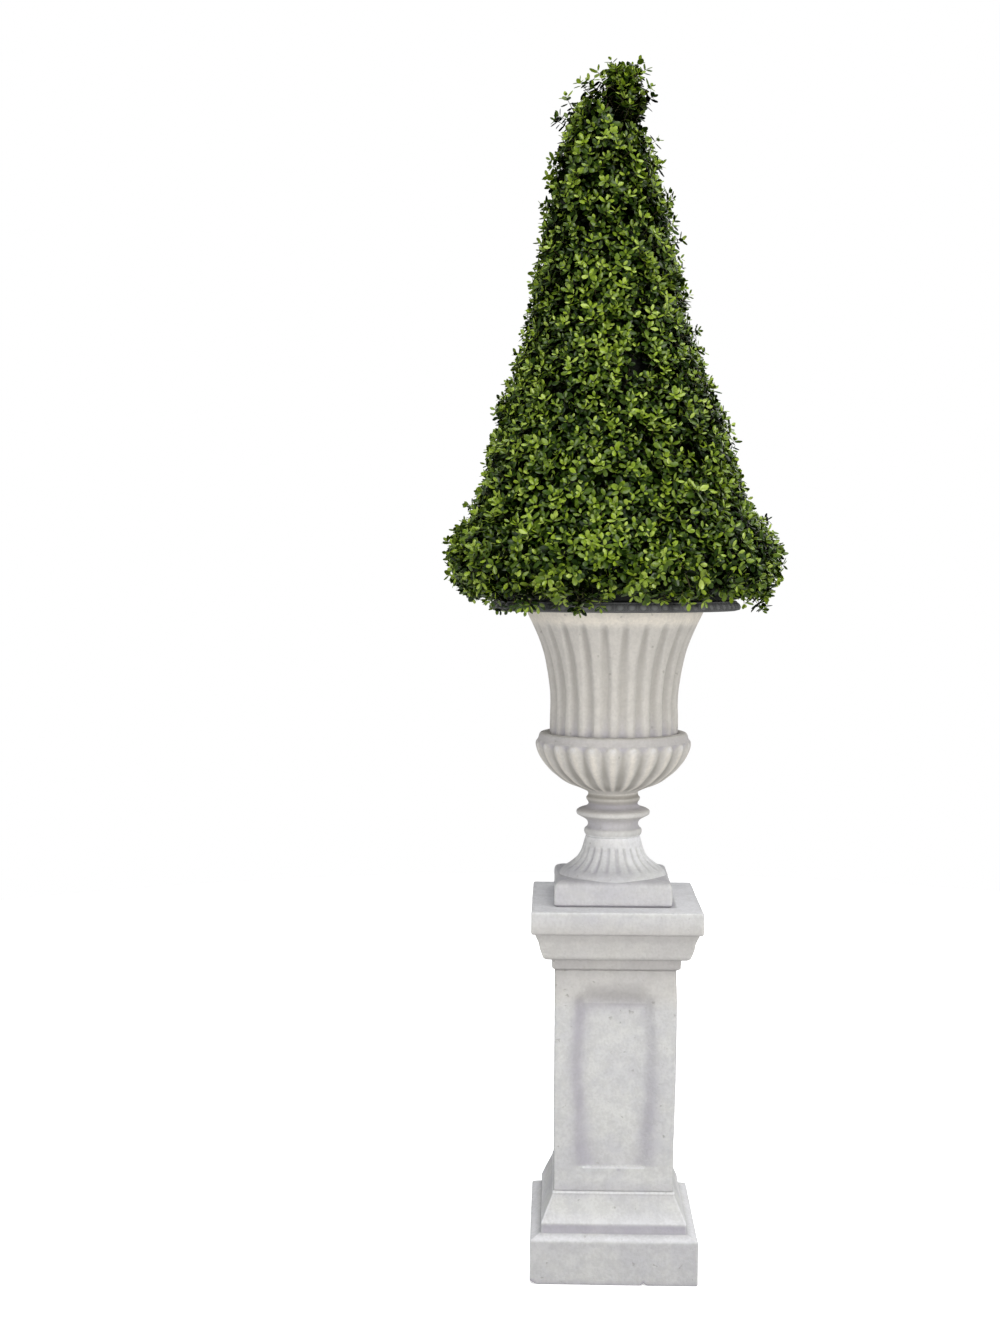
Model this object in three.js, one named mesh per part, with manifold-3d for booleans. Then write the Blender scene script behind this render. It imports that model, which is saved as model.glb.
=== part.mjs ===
// A clipped boxwood cone in a fluted campana urn, standing on a square panelled pedestal.
// Millimetres, +Z up. The origin is the centre of the pedestal's flat underside, and the front faces -Y.
import * as THREE from "three";
import { mergeVertices } from "three/addons/utils/BufferGeometryUtils.js";
import Module from "manifold-3d";

const wasm = await Module();
wasm.setup();

// Driving dimensions of the pedestal. Half widths are of square plans, and levels are heights above the
// ground.
const PLINTH_HALF = 150;
const PLINTH_TOP = 80;
const BASE_FILLET_HALF = 132;
const BASE_FILLET_HEIGHT = 22;
const SHAFT_HALF = 107;
const SHAFT_FOOT = 156;
const SHAFT_TOP = 560;
const PANEL_WIDTH = 136;
const PANEL_HEIGHT = 328;
const PANEL_CENTRE = 362;
const PANEL_DEPTH = 9;
const PANEL_BEVEL = 20;
const CAP_FOOT = 632;
const CAP_TOP = 672;
const CAP_HALF = 152;
const ARRIS = 4;

// Driving dimensions of the urn. Every fluted piece is divided into the same number of lobes.
const LOBES = 24;
const BLOCK_HALF = 104;
const BLOCK_TOP = 719;
const FOOT_RADIUS = 102;
const NECK_RADIUS = 48;
const KNOP_FOOT = 788;
const BOWL_FOOT = 869;
const BOWL_RADIUS = 143;
const GADROONS_FADE = 956;
const BELL_SEAT = 976;
const BELL_WAIST = 117;
const FLUTES_FADE = 1150;
const BELL_TOP = 1204;
const BELL_MOUTH = 176;
const RIM_TOP = 1222;
const RIM_RADIUS = 231;
const POT_WALL = 14;
const FILL_TOP = 1208;
const FOOT_FLUTE_DEPTH = 4;
const GADROON_DEPTH = 6;
const BELL_FLUTE_DEPTH = 5;

// Driving dimensions of the plant. The outline is the clipped surface as [radius, height] pairs: it runs out
// from under the skirt, over the skirt's roll, up the cone and over the tip.
const CROWN_FOOT = RIM_TOP + 0.3;
const CROWN_TOP = 2203;
const SKIRT_RADIUS = 314;
const OUTLINE = [
  [248, 1206],
  [286, 1220],
  [SKIRT_RADIUS, 1290],
  [296, 1342],
  [257, 1396],
  [217, 1540],
  [161, 1703],
  [130, 1865],
  [97, 2020],
  [64, 2142],
  [46, 2178],
  [22, 2194],
  [0, 2197],
];
const SKIRT_LEVEL = 1275; // sprigs above it rise, and those under it hang
const LEAN = -22; // sideways shift of the crown's middle where it leans most
const LEAN_TOP = 2050;
const LEAN_BACK = 14; // how far the tip comes back
const CORE_INSET = 22; // how far the dense core lies under the clipped surface
const CORE_TOP = 2176;
const TIP_RADIUS = 44; // reach of the leaves that stand over the core's flat top
const MASSES = [
  { name: "foliage_skirt", low: CROWN_FOOT, high: 1402 },
  { name: "foliage_cone", low: 1402, high: 1752 },
  { name: "foliage_top", low: 1752, high: CROWN_TOP },
];
const MASS_GAP = 0.3;
const SPACE_RISE = 0.45; // slope at which the limit between two masses climbs outside the core
const SPACE_MARGIN = 1.5;
const LOWEST_LEAF = 1200;
const STEM_ROOT_RADIUS = 22;
const STEM_RADIUS = 15;
const STEM_TIP_RADIUS = 7;
const STEM_TOP = 2120;
const STEM_SIDES = 10;
const SPRIGS = 122;
const TWIG_RADIUS = 4.2;
const TWIG_ROOT_DEPTH = 33; // how far under the clipped surface a sprig's twig begins
const TWIG_LENGTH = 26;
const LEAVES_ROUND_A_TIP = 4;
const LEAF_LENGTH = 74;
const LEAF_WIDTH = 38;
const LEAF_THICKNESS = 2.4;
const LEAF_ROLL = 0.8; // how far, in radians, a leaf may twist about its own length
const LEAF_SPLAY = [50, 104]; // least and most degrees that a leaf leans away from its twig
const LEAF_SPLAY_STEP = 6;
const LEAF_REACH = 12; // how far a leaf may stand past the clipped surface
const SEED = 7;

const matt = (color, roughness) =>
  new THREE.MeshStandardMaterial({ color, roughness, metalness: 0, flatShading: true });
const stone = matt(0xd3d1cd, 0.85);
const slate = matt(0x4a4c4c, 0.8);
const filling = matt(0x2a2723, 1);
const bark = matt(0x3d3527, 0.9);
const boxwood = matt(0x48682a, 0.5);

const part = new THREE.Group();

function addPiece(name, geometry, material) {
  const mesh = new THREE.Mesh(geometry, material);
  mesh.name = name;
  part.add(mesh);
}

// Closed triangles with shared vertices: normals and texture coordinates go, and collapsed triangles too.
function welded(geometry) {
  const bare = geometry.clone();
  bare.deleteAttribute("normal");
  bare.deleteAttribute("uv");
  const merged = mergeVertices(bare, 1e-3);
  const kept = [];
  const index = merged.index.array;
  for (let i = 0; i < index.length; i += 3) {
    const [a, b, c] = [index[i], index[i + 1], index[i + 2]];
    if (a !== b && b !== c && a !== c) kept.push(a, b, c);
  }
  merged.setIndex(kept);
  return merged;
}

function toSolid(geometry) {
  const closed = welded(geometry);
  const vertProperties = new Float32Array(closed.attributes.position.array);
  const triVerts = new Uint32Array(closed.index.array);
  return new wasm.Manifold(new wasm.Mesh({ numProp: 3, vertProperties, triVerts }));
}

function toGeometry(solid) {
  const mesh = solid.getMesh();
  const geometry = new THREE.BufferGeometry();
  geometry.setAttribute("position", new THREE.BufferAttribute(mesh.vertProperties, 3));
  geometry.setIndex(new THREE.BufferAttribute(mesh.triVerts, 1));
  return geometry;
}

// Turns a profile of [radius, height] pairs round the Z axis, starting at the front. The profile starts and
// ends on the axis.
function turned(profile, segments, startAngle = 0) {
  const points = profile.map(([radius, height]) => new THREE.Vector2(radius, height));
  return new THREE.LatheGeometry(points, segments, startAngle).rotateX(Math.PI / 2);
}

// The same for a square plan, where a pair is [half width, height].
function squareTurned(profile) {
  const toCorner = Math.SQRT2;
  const corners = profile.map(([half, height]) => [half * toCorner, height]);
  return welded(turned(corners, 4, Math.PI / 4));
}

// Pushes each point inwards by depth(height) in the groove between two lobes. The groove is narrow and the
// lobe wide.
function fluted(geometry, depth) {
  const position = geometry.attributes.position;
  for (let i = 0; i < position.count; i++) {
    const [x, y, z] = [position.getX(i), position.getY(i), position.getZ(i)];
    const radius = Math.hypot(x, y);
    if (radius < 1) continue;
    const angle = Math.atan2(x, -y);
    const groove = (0.5 - 0.5 * Math.cos(LOBES * angle)) ** 2;
    const scale = (radius - depth(z) * groove) / radius;
    position.setXY(i, x * scale, y * scale);
  }
  return geometry;
}

// A smooth run of [radius, height] pairs through a few points, as count + 1 rows.
function curveThrough(points, count) {
  const curve = new THREE.SplineCurve(points.map(([radius, height]) => new THREE.Vector2(radius, height)));
  return curve.getPoints(count).map((point) => [point.x, point.y]);
}

// Rises from 0 at low to 1 at high.
const ramp = THREE.MathUtils.smoothstep;

function pedestalPlinth() {
  const profile = [
    [0, 0],
    [PLINTH_HALF - ARRIS / 2, 0],
    [PLINTH_HALF, ARRIS],
    [PLINTH_HALF, PLINTH_TOP - ARRIS],
    [PLINTH_HALF - ARRIS, PLINTH_TOP],
    [0, PLINTH_TOP],
  ];
  return squareTurned(profile);
}

function pedestalBaseMould() {
  const slopeFoot = PLINTH_TOP + BASE_FILLET_HEIGHT;
  const profile = [
    [0, PLINTH_TOP],
    [BASE_FILLET_HALF + 1, PLINTH_TOP],
    [BASE_FILLET_HALF, slopeFoot],
    [SHAFT_HALF + 3, SHAFT_FOOT - 3],
    [SHAFT_HALF + 1, SHAFT_FOOT],
    [0, SHAFT_FOOT],
  ];
  return squareTurned(profile);
}

// One sunk panel's cutter, facing -Y: a shallow block whose inner face is smaller all round by the bevel.
function panelCutter() {
  const outside = 4;
  const depth = PANEL_DEPTH + outside;
  const cutter = new THREE.BoxGeometry(PANEL_WIDTH, depth, PANEL_HEIGHT);
  const position = cutter.attributes.position;
  for (let i = 0; i < position.count; i++) {
    if (position.getY(i) < 0) continue;
    position.setX(i, position.getX(i) - Math.sign(position.getX(i)) * PANEL_BEVEL);
    position.setZ(i, position.getZ(i) - Math.sign(position.getZ(i)) * PANEL_BEVEL);
  }
  return cutter.translate(0, depth / 2 - SHAFT_HALF - outside, PANEL_CENTRE);
}

function pedestalShaft() {
  const block = squareTurned([
    [0, SHAFT_FOOT],
    [SHAFT_HALF, SHAFT_FOOT],
    [SHAFT_HALF, SHAFT_TOP],
    [0, SHAFT_TOP],
  ]);
  let shaft = toSolid(block);
  for (let side = 0; side < 4; side++) {
    shaft = shaft.subtract(toSolid(panelCutter().rotateZ((side * Math.PI) / 2)));
  }
  return toGeometry(shaft);
}

function pedestalCornice() {
  const fillet = 115;
  const ovolo = 129;
  const profile = [
    [0, SHAFT_TOP],
    [SHAFT_HALF + 1, SHAFT_TOP],
    [fillet, SHAFT_TOP + 4],
    [fillet + 1, SHAFT_TOP + 20],
    [ovolo, SHAFT_TOP + 23],
    [ovolo + 7, SHAFT_TOP + 31],
    [ovolo + 11, SHAFT_TOP + 43],
    [ovolo + 12, SHAFT_TOP + 56],
    [ovolo + 17, CAP_FOOT],
    [0, CAP_FOOT],
  ];
  return squareTurned(profile);
}

function pedestalCap() {
  const profile = [
    [0, CAP_FOOT],
    [CAP_HALF - ARRIS / 2, CAP_FOOT],
    [CAP_HALF, CAP_FOOT + ARRIS],
    [CAP_HALF, CAP_TOP - ARRIS],
    [CAP_HALF - ARRIS, CAP_TOP],
    [0, CAP_TOP],
  ];
  return squareTurned(profile);
}

function urnBlock() {
  const profile = [
    [0, CAP_TOP],
    [BLOCK_HALF, CAP_TOP],
    [BLOCK_HALF, BLOCK_TOP - ARRIS],
    [BLOCK_HALF - ARRIS / 2, BLOCK_TOP],
    [0, BLOCK_TOP],
  ];
  return squareTurned(profile);
}

// The trumpet foot: a plain ring, then a hollow sweep with shallow flutes up to a plain collar.
function urnFoot() {
  const ringTop = BLOCK_TOP + 5;
  const collar = KNOP_FOOT - 12;
  const sweep = curveThrough(
    [
      [FOOT_RADIUS - 4, ringTop],
      [78, 739],
      [63, 756],
      [55, collar],
    ],
    5,
  );
  const profile = [[0, BLOCK_TOP], [FOOT_RADIUS, BLOCK_TOP], ...sweep, [50, KNOP_FOOT], [0, KNOP_FOOT]];
  const depth = (z) => FOOT_FLUTE_DEPTH * ramp(z, ringTop, ringTop + 12) * (1 - ramp(z, collar - 14, collar));
  return fluted(turned(profile, 2 * LOBES), depth);
}

// The knop between foot and bowl: a torus, a hollow, a wide disc, a hollow and a bead.
function urnKnop() {
  const profile = [
    [0, KNOP_FOOT],
    [NECK_RADIUS, KNOP_FOOT],
    [52, 793],
    [54, 799],
    [51, 805],
    [46, 811],
    [51, 818],
    [63, 824],
    [67, 830],
    [64, 837],
    [50, 843],
    [NECK_RADIUS - 1, 850],
    [50, 856],
    [NECK_RADIUS, 861],
    [NECK_RADIUS, BOWL_FOOT],
    [0, BOWL_FOOT],
  ];
  return turned(profile, LOBES);
}

// The solid that an inner wall encloses, carried past its top, and past its foot where that is open below.
function bore(wall, openBelow) {
  const past = 5;
  const [footRadius, foot] = wall[0];
  const [topRadius, top] = wall[wall.length - 1];
  const start = openBelow ? [[0, foot - past], [footRadius, foot - past]] : [[0, foot]];
  return toSolid(turned([...start, ...wall, [topRadius, top + past], [0, top + past]], LOBES));
}

// The bowl's inner wall as [radius, height] pairs from its floor to the bell's seat, drawn in by a clearance.
function bowlInside(clearance) {
  const floor = BOWL_FOOT + 24;
  return [
    [62, floor],
    [92, floor + 22],
    [BELL_WAIST - POT_WALL, BELL_SEAT],
  ].map(([radius, height]) => [radius - clearance, height + clearance]);
}

// The gadrooned bowl, hollow inside, with a rounded lip that stands up round the bell's foot.
function urnBowl() {
  const lipTop = BELL_SEAT + 6;
  const belly = curveThrough(
    [
      [NECK_RADIUS + 2, BOWL_FOOT],
      [90, 885],
      [121, 913],
      [137, 936],
      [BOWL_RADIUS, 959],
      [139, 972],
      [128, lipTop],
    ],
    7,
  );
  const seatRadius = BELL_WAIST + 3.3;
  const seat = [[seatRadius, lipTop - 1], [seatRadius, BELL_SEAT], [0, BELL_SEAT]];
  const profile = [[0, BOWL_FOOT], ...belly, ...seat];
  const swelling = (z) => ramp(z, BOWL_FOOT, BOWL_FOOT + 24) * (1 - ramp(z, GADROONS_FADE, BELL_SEAT));
  const depth = (z) => GADROON_DEPTH * swelling(z);
  const outside = toSolid(fluted(turned(profile, 3 * LOBES, Math.PI / LOBES), depth));
  return toGeometry(outside.subtract(bore(bowlInside(0), false)));
}

// The bell's inner wall as [radius, height] pairs from its seat up, shared by the bell and what fills it.
function bellInside(clearance) {
  return [
    [BELL_WAIST - POT_WALL, BELL_SEAT],
    [BELL_WAIST - POT_WALL, 1050],
    [134 - POT_WALL, 1134],
    [152 - POT_WALL, 1178],
    [BELL_MOUTH - POT_WALL, BELL_TOP],
  ].map(([radius, height]) => [radius - clearance, height]);
}

function urnBell() {
  const wall = curveThrough(
    [
      [BELL_WAIST + 2, BELL_SEAT],
      [BELL_WAIST, 1040],
      [123, 1083],
      [134, 1134],
      [152, 1178],
      [165, 1197],
      [BELL_MOUTH, BELL_TOP],
    ],
    5,
  );
  const depth = (z) => BELL_FLUTE_DEPTH * (1 - ramp(z, FLUTES_FADE, FLUTES_FADE + 40));
  const profile = [[0, BELL_SEAT], ...wall, [0, BELL_TOP]];
  const outside = toSolid(fluted(turned(profile, 3 * LOBES, Math.PI / LOBES), depth));
  return toGeometry(outside.subtract(bore(bellInside(0), true)));
}

// The spreading dark lip: its moulded edge slopes out and down to the widest point.
function urnRim() {
  const inner = BELL_MOUTH - POT_WALL;
  const profile = [
    [inner, BELL_TOP],
    [RIM_RADIUS - 9, BELL_TOP],
    [RIM_RADIUS - 1, BELL_TOP + 3],
    [RIM_RADIUS, BELL_TOP + 6],
    [RIM_RADIUS - 4, BELL_TOP + 13],
    [RIM_RADIUS - 10, RIM_TOP],
    [inner, RIM_TOP],
    [inner, BELL_TOP],
  ];
  return turned(profile, 2 * LOBES);
}

// What fills the pot, from the bowl's floor to just under the rim, clear of the wall all round.
function urnFill() {
  const clearance = 0.4;
  const wall = [...bowlInside(clearance), ...bellInside(clearance).slice(1)];
  const [mouth] = wall[wall.length - 1];
  const profile = [[0, wall[0][1]], ...wall, [mouth, FILL_TOP], [0, FILL_TOP]];
  return turned(profile, LOBES);
}

// Sideways shift of the plant's middle at a height: it leans steadily, and its tip comes back.
function leanAt(z) {
  const share = THREE.MathUtils.clamp((z - FILL_TOP) / (LEAN_TOP - FILL_TOP), 0, 1);
  return LEAN * share + LEAN_BACK * ramp(z, LEAN_TOP, CROWN_TOP);
}

function leaning(geometry) {
  const position = geometry.attributes.position;
  for (let i = 0; i < position.count; i++) {
    position.setX(i, position.getX(i) + leanAt(position.getZ(i)));
  }
  return geometry;
}

// The main stem with its root flare and taper, from a flat cut on the filling. Grown by a clearance it cuts
// the cores.
function stem(clearance = 0) {
  const flareTop = FILL_TOP + 46;
  const profile = [
    [0, FILL_TOP - clearance],
    [STEM_ROOT_RADIUS + clearance, FILL_TOP - clearance],
    [STEM_RADIUS + 2 + clearance, FILL_TOP + 16],
    [STEM_RADIUS + clearance, flareTop],
    [STEM_TIP_RADIUS + clearance, STEM_TOP + clearance],
    [0, STEM_TOP + clearance],
  ];
  return leaning(turned(profile, STEM_SIDES));
}

const outlinePoints = OUTLINE.map(([radius, height]) => new THREE.Vector2(radius, height));
const outlineCurve = new THREE.SplineCurve(outlinePoints);
const outlineSamples = outlineCurve.getPoints(600);

// Radius of the clipped surface at a height, read between the curve's samples.
function outlineRadius(z) {
  const above = outlineSamples.findIndex((point) => point.y >= z);
  if (above < 0) return 0;
  if (above === 0) return outlineSamples[0].x;
  const [low, high] = [outlineSamples[above - 1], outlineSamples[above]];
  return THREE.MathUtils.mapLinear(z, low.y, high.y, low.x, high.x);
}

const coreRadius = (z) => Math.max(outlineRadius(z) - CORE_INSET, 0);

// One mass's core: the outline drawn in by the inset, cut flat at both ends and bored clear of the stem.
function coreSolid(low, high) {
  const rowHeight = 80;
  const rows = Math.round((high - low) / rowHeight);
  const profile = [[0, low]];
  for (let row = 0; row <= rows; row++) {
    const z = THREE.MathUtils.lerp(low, high, row / rows);
    profile.push([coreRadius(z), z]);
  }
  profile.push([0, high]);
  const core = toSolid(leaning(turned(profile, LOBES)));
  return core.subtract(toSolid(stem(MASS_GAP)));
}

// A repeatable stream of numbers from 0 to 1.
function seeded(seed) {
  let state = seed >>> 0;
  return () => {
    state = (state + 0x6d2b79f5) >>> 0;
    let t = state;
    t = Math.imul(t ^ (t >>> 15), t | 1);
    t ^= t + Math.imul(t ^ (t >>> 7), t | 61);
    return ((t ^ (t >>> 14)) >>> 0) / 4294967296;
  };
}

// Where the sprigs stand on the clipped surface: evenly up it by equal areas, and round it by the golden
// angle. The narrow tip counts for a little more than its area, because its leaves are smaller.
function sprigPlaces() {
  const tipShare = 30;
  const areas = [0];
  for (let i = 1; i < outlineSamples.length; i++) {
    const [a, b] = [outlineSamples[i - 1], outlineSamples[i]];
    areas.push(areas[i - 1] + a.distanceTo(b) * (a.x + b.x + tipShare));
  }
  const goldenAngle = Math.PI * (3 - Math.sqrt(5));
  const places = [];
  for (let n = 0; n < SPRIGS; n++) {
    const wanted = (areas[areas.length - 1] * (n + 0.5)) / SPRIGS;
    const i = areas.findIndex((area) => area >= wanted);
    const [a, b] = [outlineSamples[i - 1], outlineSamples[i]];
    const along = b.clone().sub(a).normalize();
    places.push({ radius: a.x, z: a.y, outX: along.y, outZ: -along.x, azimuth: n * goldenAngle });
  }
  return places;
}

// Turns a shape that grows along +Z from the origin, so that it grows from a point along a direction. Its X
// side turns to lie across.
function grownFrom(geometry, from, direction, across) {
  const basis = new THREE.Matrix4().makeBasis(across, direction.clone().cross(across), direction);
  return geometry.applyMatrix4(basis.setPosition(from));
}

// A leaf of six faces growing along +Z: pointed at both ends, widest past its middle, with a keel on its
// inner side.
function leafShape(size) {
  const sides = 3;
  const keeled = turned(
    [
      [0, 0],
      [1, 0.56],
      [0, 1],
    ],
    sides,
  );
  return keeled.scale((LEAF_WIDTH * size) / Math.sqrt(3), LEAF_THICKNESS / 1.5, LEAF_LENGTH * size);
}

function twigShape() {
  const sides = 3;
  return new THREE.CylinderGeometry(TWIG_RADIUS * 0.6, TWIG_RADIUS, TWIG_LENGTH, sides)
    .rotateX(Math.PI / 2)
    .translate(0, 0, TWIG_LENGTH / 2);
}

// The room that twigs and leaves keep out of: the rim, and a margin round it.
const rimRoom = toSolid(
  turned(
    [
      [0, BELL_TOP - 60],
      [RIM_RADIUS + 3, BELL_TOP - 60],
      [RIM_RADIUS + 3, RIM_TOP + 1],
      [0, RIM_TOP + 1],
    ],
    2 * LOBES,
  ),
);

// True if a shape lies between the limits of its mass, no further out than its reach, and clear of the stem
// and the rim. The limits between masses are level through the core and climb outside it, as the twigs do.
function keepsToSpace(geometry, mass, reach) {
  const position = geometry.attributes.position;
  let lowest = Infinity;
  for (let i = 0; i < position.count; i++) {
    const z = position.getZ(i);
    const radius = Math.hypot(position.getX(i) - leanAt(z), position.getY(i));
    const limit = (level) => level + Math.max(radius - coreRadius(level), 0) * SPACE_RISE;
    const floor = mass.low === CROWN_FOOT ? LOWEST_LEAF : limit(mass.low) + SPACE_MARGIN;
    const roof = mass.high === CROWN_TOP ? CROWN_TOP : limit(mass.high) - SPACE_MARGIN;
    if (z < floor || z > roof) return false;
    const clipped = z < CORE_TOP ? outlineRadius(Math.max(z, CROWN_FOOT)) : TIP_RADIUS;
    if (radius > clipped + reach) return false;
    if (radius < STEM_RADIUS + 4 && z < STEM_TOP + 4) return false;
    lowest = Math.min(lowest, z);
  }
  return lowest > RIM_TOP + 1 || toSolid(geometry).intersect(rimRoom).isEmpty();
}

// A leaf that leans away from its twig, more and more, until it lies in its space under the clipped surface.
function fittedLeaf(size, root, direction, across, roll, mass, reach) {
  const [least, most] = LEAF_SPLAY;
  for (let splay = least; splay <= most; splay += LEAF_SPLAY_STEP) {
    const way = direction.clone().applyAxisAngle(across, THREE.MathUtils.degToRad(splay));
    const leaf = grownFrom(leafShape(size), root, way, across.clone().applyAxisAngle(way, roll));
    if (keepsToSpace(leaf, mass, reach)) return leaf;
  }
  return null;
}

// One sprig: a three-sided twig sunk in the core, and a ring of leaves round its end.
function sprigSolid(foot, direction, size, mass, random) {
  const side = new THREE.Vector3(0, 0, 1).cross(direction);
  if (side.length() < 0.01) side.set(1, 0, 0);
  side.normalize();
  const twig = grownFrom(twigShape(), foot, direction, side);
  if (!keepsToSpace(twig, mass, 0)) return null;
  let sprig = toSolid(twig);
  const turn = random() * Math.PI;
  for (let n = 0; n < LEAVES_ROUND_A_TIP; n++) {
    const round = turn + (n * 2 * Math.PI) / LEAVES_ROUND_A_TIP;
    const across = side.clone().applyAxisAngle(direction, round);
    const root = foot.clone().addScaledVector(direction, TWIG_LENGTH - 3 - 4 * (n % 2));
    const roll = LEAF_ROLL * (random() - 0.5);
    const leafSize = size * (0.8 + 0.4 * random());
    const reach = LEAF_REACH * random();
    const leaf = fittedLeaf(leafSize, root, direction, across, roll, mass, reach);
    if (leaf) sprig = sprig.add(toSolid(leaf));
  }
  return sprig;
}

// A mass: its core with every sprig whose foot lies in it. Sprigs rise a little on the cone and hang from the
// skirt.
function massSolid(mass) {
  const random = seeded(SEED + Math.round(mass.low));
  const isTop = mass.high === CROWN_TOP;
  let solid = coreSolid(mass.low, isTop ? CORE_TOP : mass.high - MASS_GAP);
  for (const { radius, z, outX, outZ, azimuth } of sprigPlaces()) {
    const footHeight = z - TWIG_ROOT_DEPTH * outZ;
    if (footHeight < mass.low - 20 || footHeight >= mass.high) continue;
    if (footHeight < mass.low && mass.low !== CROWN_FOOT) continue;
    const rise = THREE.MathUtils.clamp((z - SKIRT_LEVEL) / 60, -0.5, 0.3);
    const bearing = new THREE.Vector3(Math.sin(azimuth), -Math.cos(azimuth), 0);
    const direction = bearing.clone().multiplyScalar(outX).setZ(outZ + rise).normalize();
    const inner = Math.max(radius - TWIG_ROOT_DEPTH * outX, STEM_RADIUS + 10);
    const height = THREE.MathUtils.clamp(footHeight, mass.low + 8, isTop ? CORE_TOP - 8 : mass.high - 8);
    const foot = bearing.clone().multiplyScalar(inner).setZ(height);
    foot.x += leanAt(height);
    const size = THREE.MathUtils.clamp(0.6 + radius / 450, 0.65, 1);
    const sprig = sprigSolid(foot, direction, size, mass, random);
    if (sprig) solid = solid.add(sprig);
  }
  if (isTop) {
    const foot = new THREE.Vector3(leanAt(CORE_TOP), 0, CORE_TOP - 8);
    solid = solid.add(sprigSolid(foot, new THREE.Vector3(0, 0, 1), 0.65, mass, random));
  }
  return solid;
}

addPiece("pedestal_plinth", pedestalPlinth(), stone);
addPiece("pedestal_base_mould", pedestalBaseMould(), stone);
addPiece("pedestal_shaft", pedestalShaft(), stone);
addPiece("pedestal_cornice", pedestalCornice(), stone);
addPiece("pedestal_cap", pedestalCap(), stone);
addPiece("urn_block", urnBlock(), stone);
addPiece("urn_foot", urnFoot(), stone);
addPiece("urn_knop", urnKnop(), stone);
addPiece("urn_bowl", urnBowl(), stone);
addPiece("urn_bell", urnBell(), stone);
addPiece("urn_rim", urnRim(), slate);
addPiece("urn_fill", urnFill(), filling);
addPiece("stem", stem(), bark);
for (const mass of MASSES) {
  addPiece(mass.name, toGeometry(massSolid(mass)), boxwood);
}

export default part;
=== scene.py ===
import math

import bpy
import numpy as np
from mathutils import Matrix, Vector


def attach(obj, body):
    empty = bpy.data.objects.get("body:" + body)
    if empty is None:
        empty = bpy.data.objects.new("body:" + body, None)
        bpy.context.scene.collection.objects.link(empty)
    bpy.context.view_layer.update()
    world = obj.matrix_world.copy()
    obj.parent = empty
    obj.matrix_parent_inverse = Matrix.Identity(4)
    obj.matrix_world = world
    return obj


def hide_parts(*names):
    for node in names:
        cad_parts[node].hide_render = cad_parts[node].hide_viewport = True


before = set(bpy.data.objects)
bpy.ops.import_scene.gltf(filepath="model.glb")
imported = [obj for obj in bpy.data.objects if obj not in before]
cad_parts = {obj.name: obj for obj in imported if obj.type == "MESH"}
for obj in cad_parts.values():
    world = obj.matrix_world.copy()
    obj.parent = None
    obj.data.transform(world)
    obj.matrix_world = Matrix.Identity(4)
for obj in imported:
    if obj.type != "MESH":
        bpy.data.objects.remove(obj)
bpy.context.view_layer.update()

SEED = 7

# The camera, found from the edges of plinth, cap and rim in the 1000 x 1333 picture. Angles are in radians.
CAMERA_PLACE = (-0.10594, -3.11695, 1.27323)
CAMERA_HEADING = 0.03338
CAMERA_PITCH = 0.05564
CAMERA_ROLL = 0.00133
FOCAL_PIXELS = 1693.2
LONG_SIDE_PIXELS = 1333
SENSOR = 36.0

# The pedestal. Its square pieces are rows of stops as (half width, height, wash). A wash of 1 or more is the full
# tint, 0 is bare stone, and -1 or less is pale. The tint is the lilac wash, and also painted shade in the undercuts,
# under the beads and at the plinth's foot. The pale tone is worn edges, and also painted light on the upward ledges
# and the cap's top.
PLINTH = [
    (0.1100, 0.0000, 0.50), (0.1500, 0.0000, 0.90), (0.1500, 0.0035, 0.45), (0.1500, 0.0110, 0.14),
    (0.1500, 0.0550, 0.12), (0.1500, 0.0740, 0.24), (0.1500, 0.0795, -0.40), (0.1460, 0.0812, -0.80),
    (0.1400, 0.0838, -0.60), (0.1335, 0.0866, 0.00), (0.1318, 0.0868, 0.30), (0.1100, 0.0868, 0.40),
]
BASE_MOULD = [
    (0.0900, 0.0850, 0.60), (0.1315, 0.0850, 0.90), (0.1312, 0.0890, 0.80), (0.1311, 0.0990, 0.95),
    (0.1310, 0.1025, 0.45), (0.1300, 0.1050, -0.55), (0.1272, 0.1120, -0.40), (0.1215, 0.1250, -0.08),
    (0.1135, 0.1430, 0.06), (0.1105, 0.1500, 0.28), (0.1102, 0.1512, 0.55), (0.1106, 0.1520, -0.10),
    (0.1108, 0.1532, -0.80), (0.1096, 0.1548, -0.40), (0.1082, 0.1560, 0.50), (0.0900, 0.1560, 0.50),
]
SHAFT_FOOT = 0.156
SHAFT_TOP = 0.560
# The shaft's outline as (height, half width, shift to the right), and its panel as (height, half width of the sunk
# field, half width of the bevel's outer edge).
SHAFT_EDGES = [
    (0.180, 0.1078, -0.0003), (0.250, 0.1082, 0.0001), (0.330, 0.1092, 0.0012), (0.410, 0.1098, 0.0022),
    (0.505, 0.1099, 0.0027), (0.560, 0.1088, 0.0017),
]
PANEL_SIDES = [
    (0.198, 0.0425, 0.0680), (0.240, 0.0445, 0.0720), (0.330, 0.0530, 0.0770), (0.450, 0.0540, 0.0755),
    (0.530, 0.0540, 0.0720),
]
PANEL_FOOT = (0.1978, 0.2000)
PANEL_HEAD = (0.495, 0.527)
PANEL_DEPTH = 0.0095
SHAFT_WASH = [
    (0.157, 0.34), (0.165, 0.30), (0.172, 0.10), (0.180, -0.06), (0.190, 0.05), (0.196, 0.02), (0.300, 0.00),
    (0.480, 0.00), (0.520, 0.10), (0.540, 0.20), (0.547, 0.24), (0.553, 0.36), (0.559, 0.50),
]
FIELD_WASH = [
    (0.200, 0.28), (0.213, 0.26), (0.223, 0.17), (0.240, 0.06), (0.260, 0.03), (0.300, -0.04), (0.430, -0.06),
    (0.465, 0.06), (0.485, 0.24), (0.497, 0.40),
]
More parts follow.
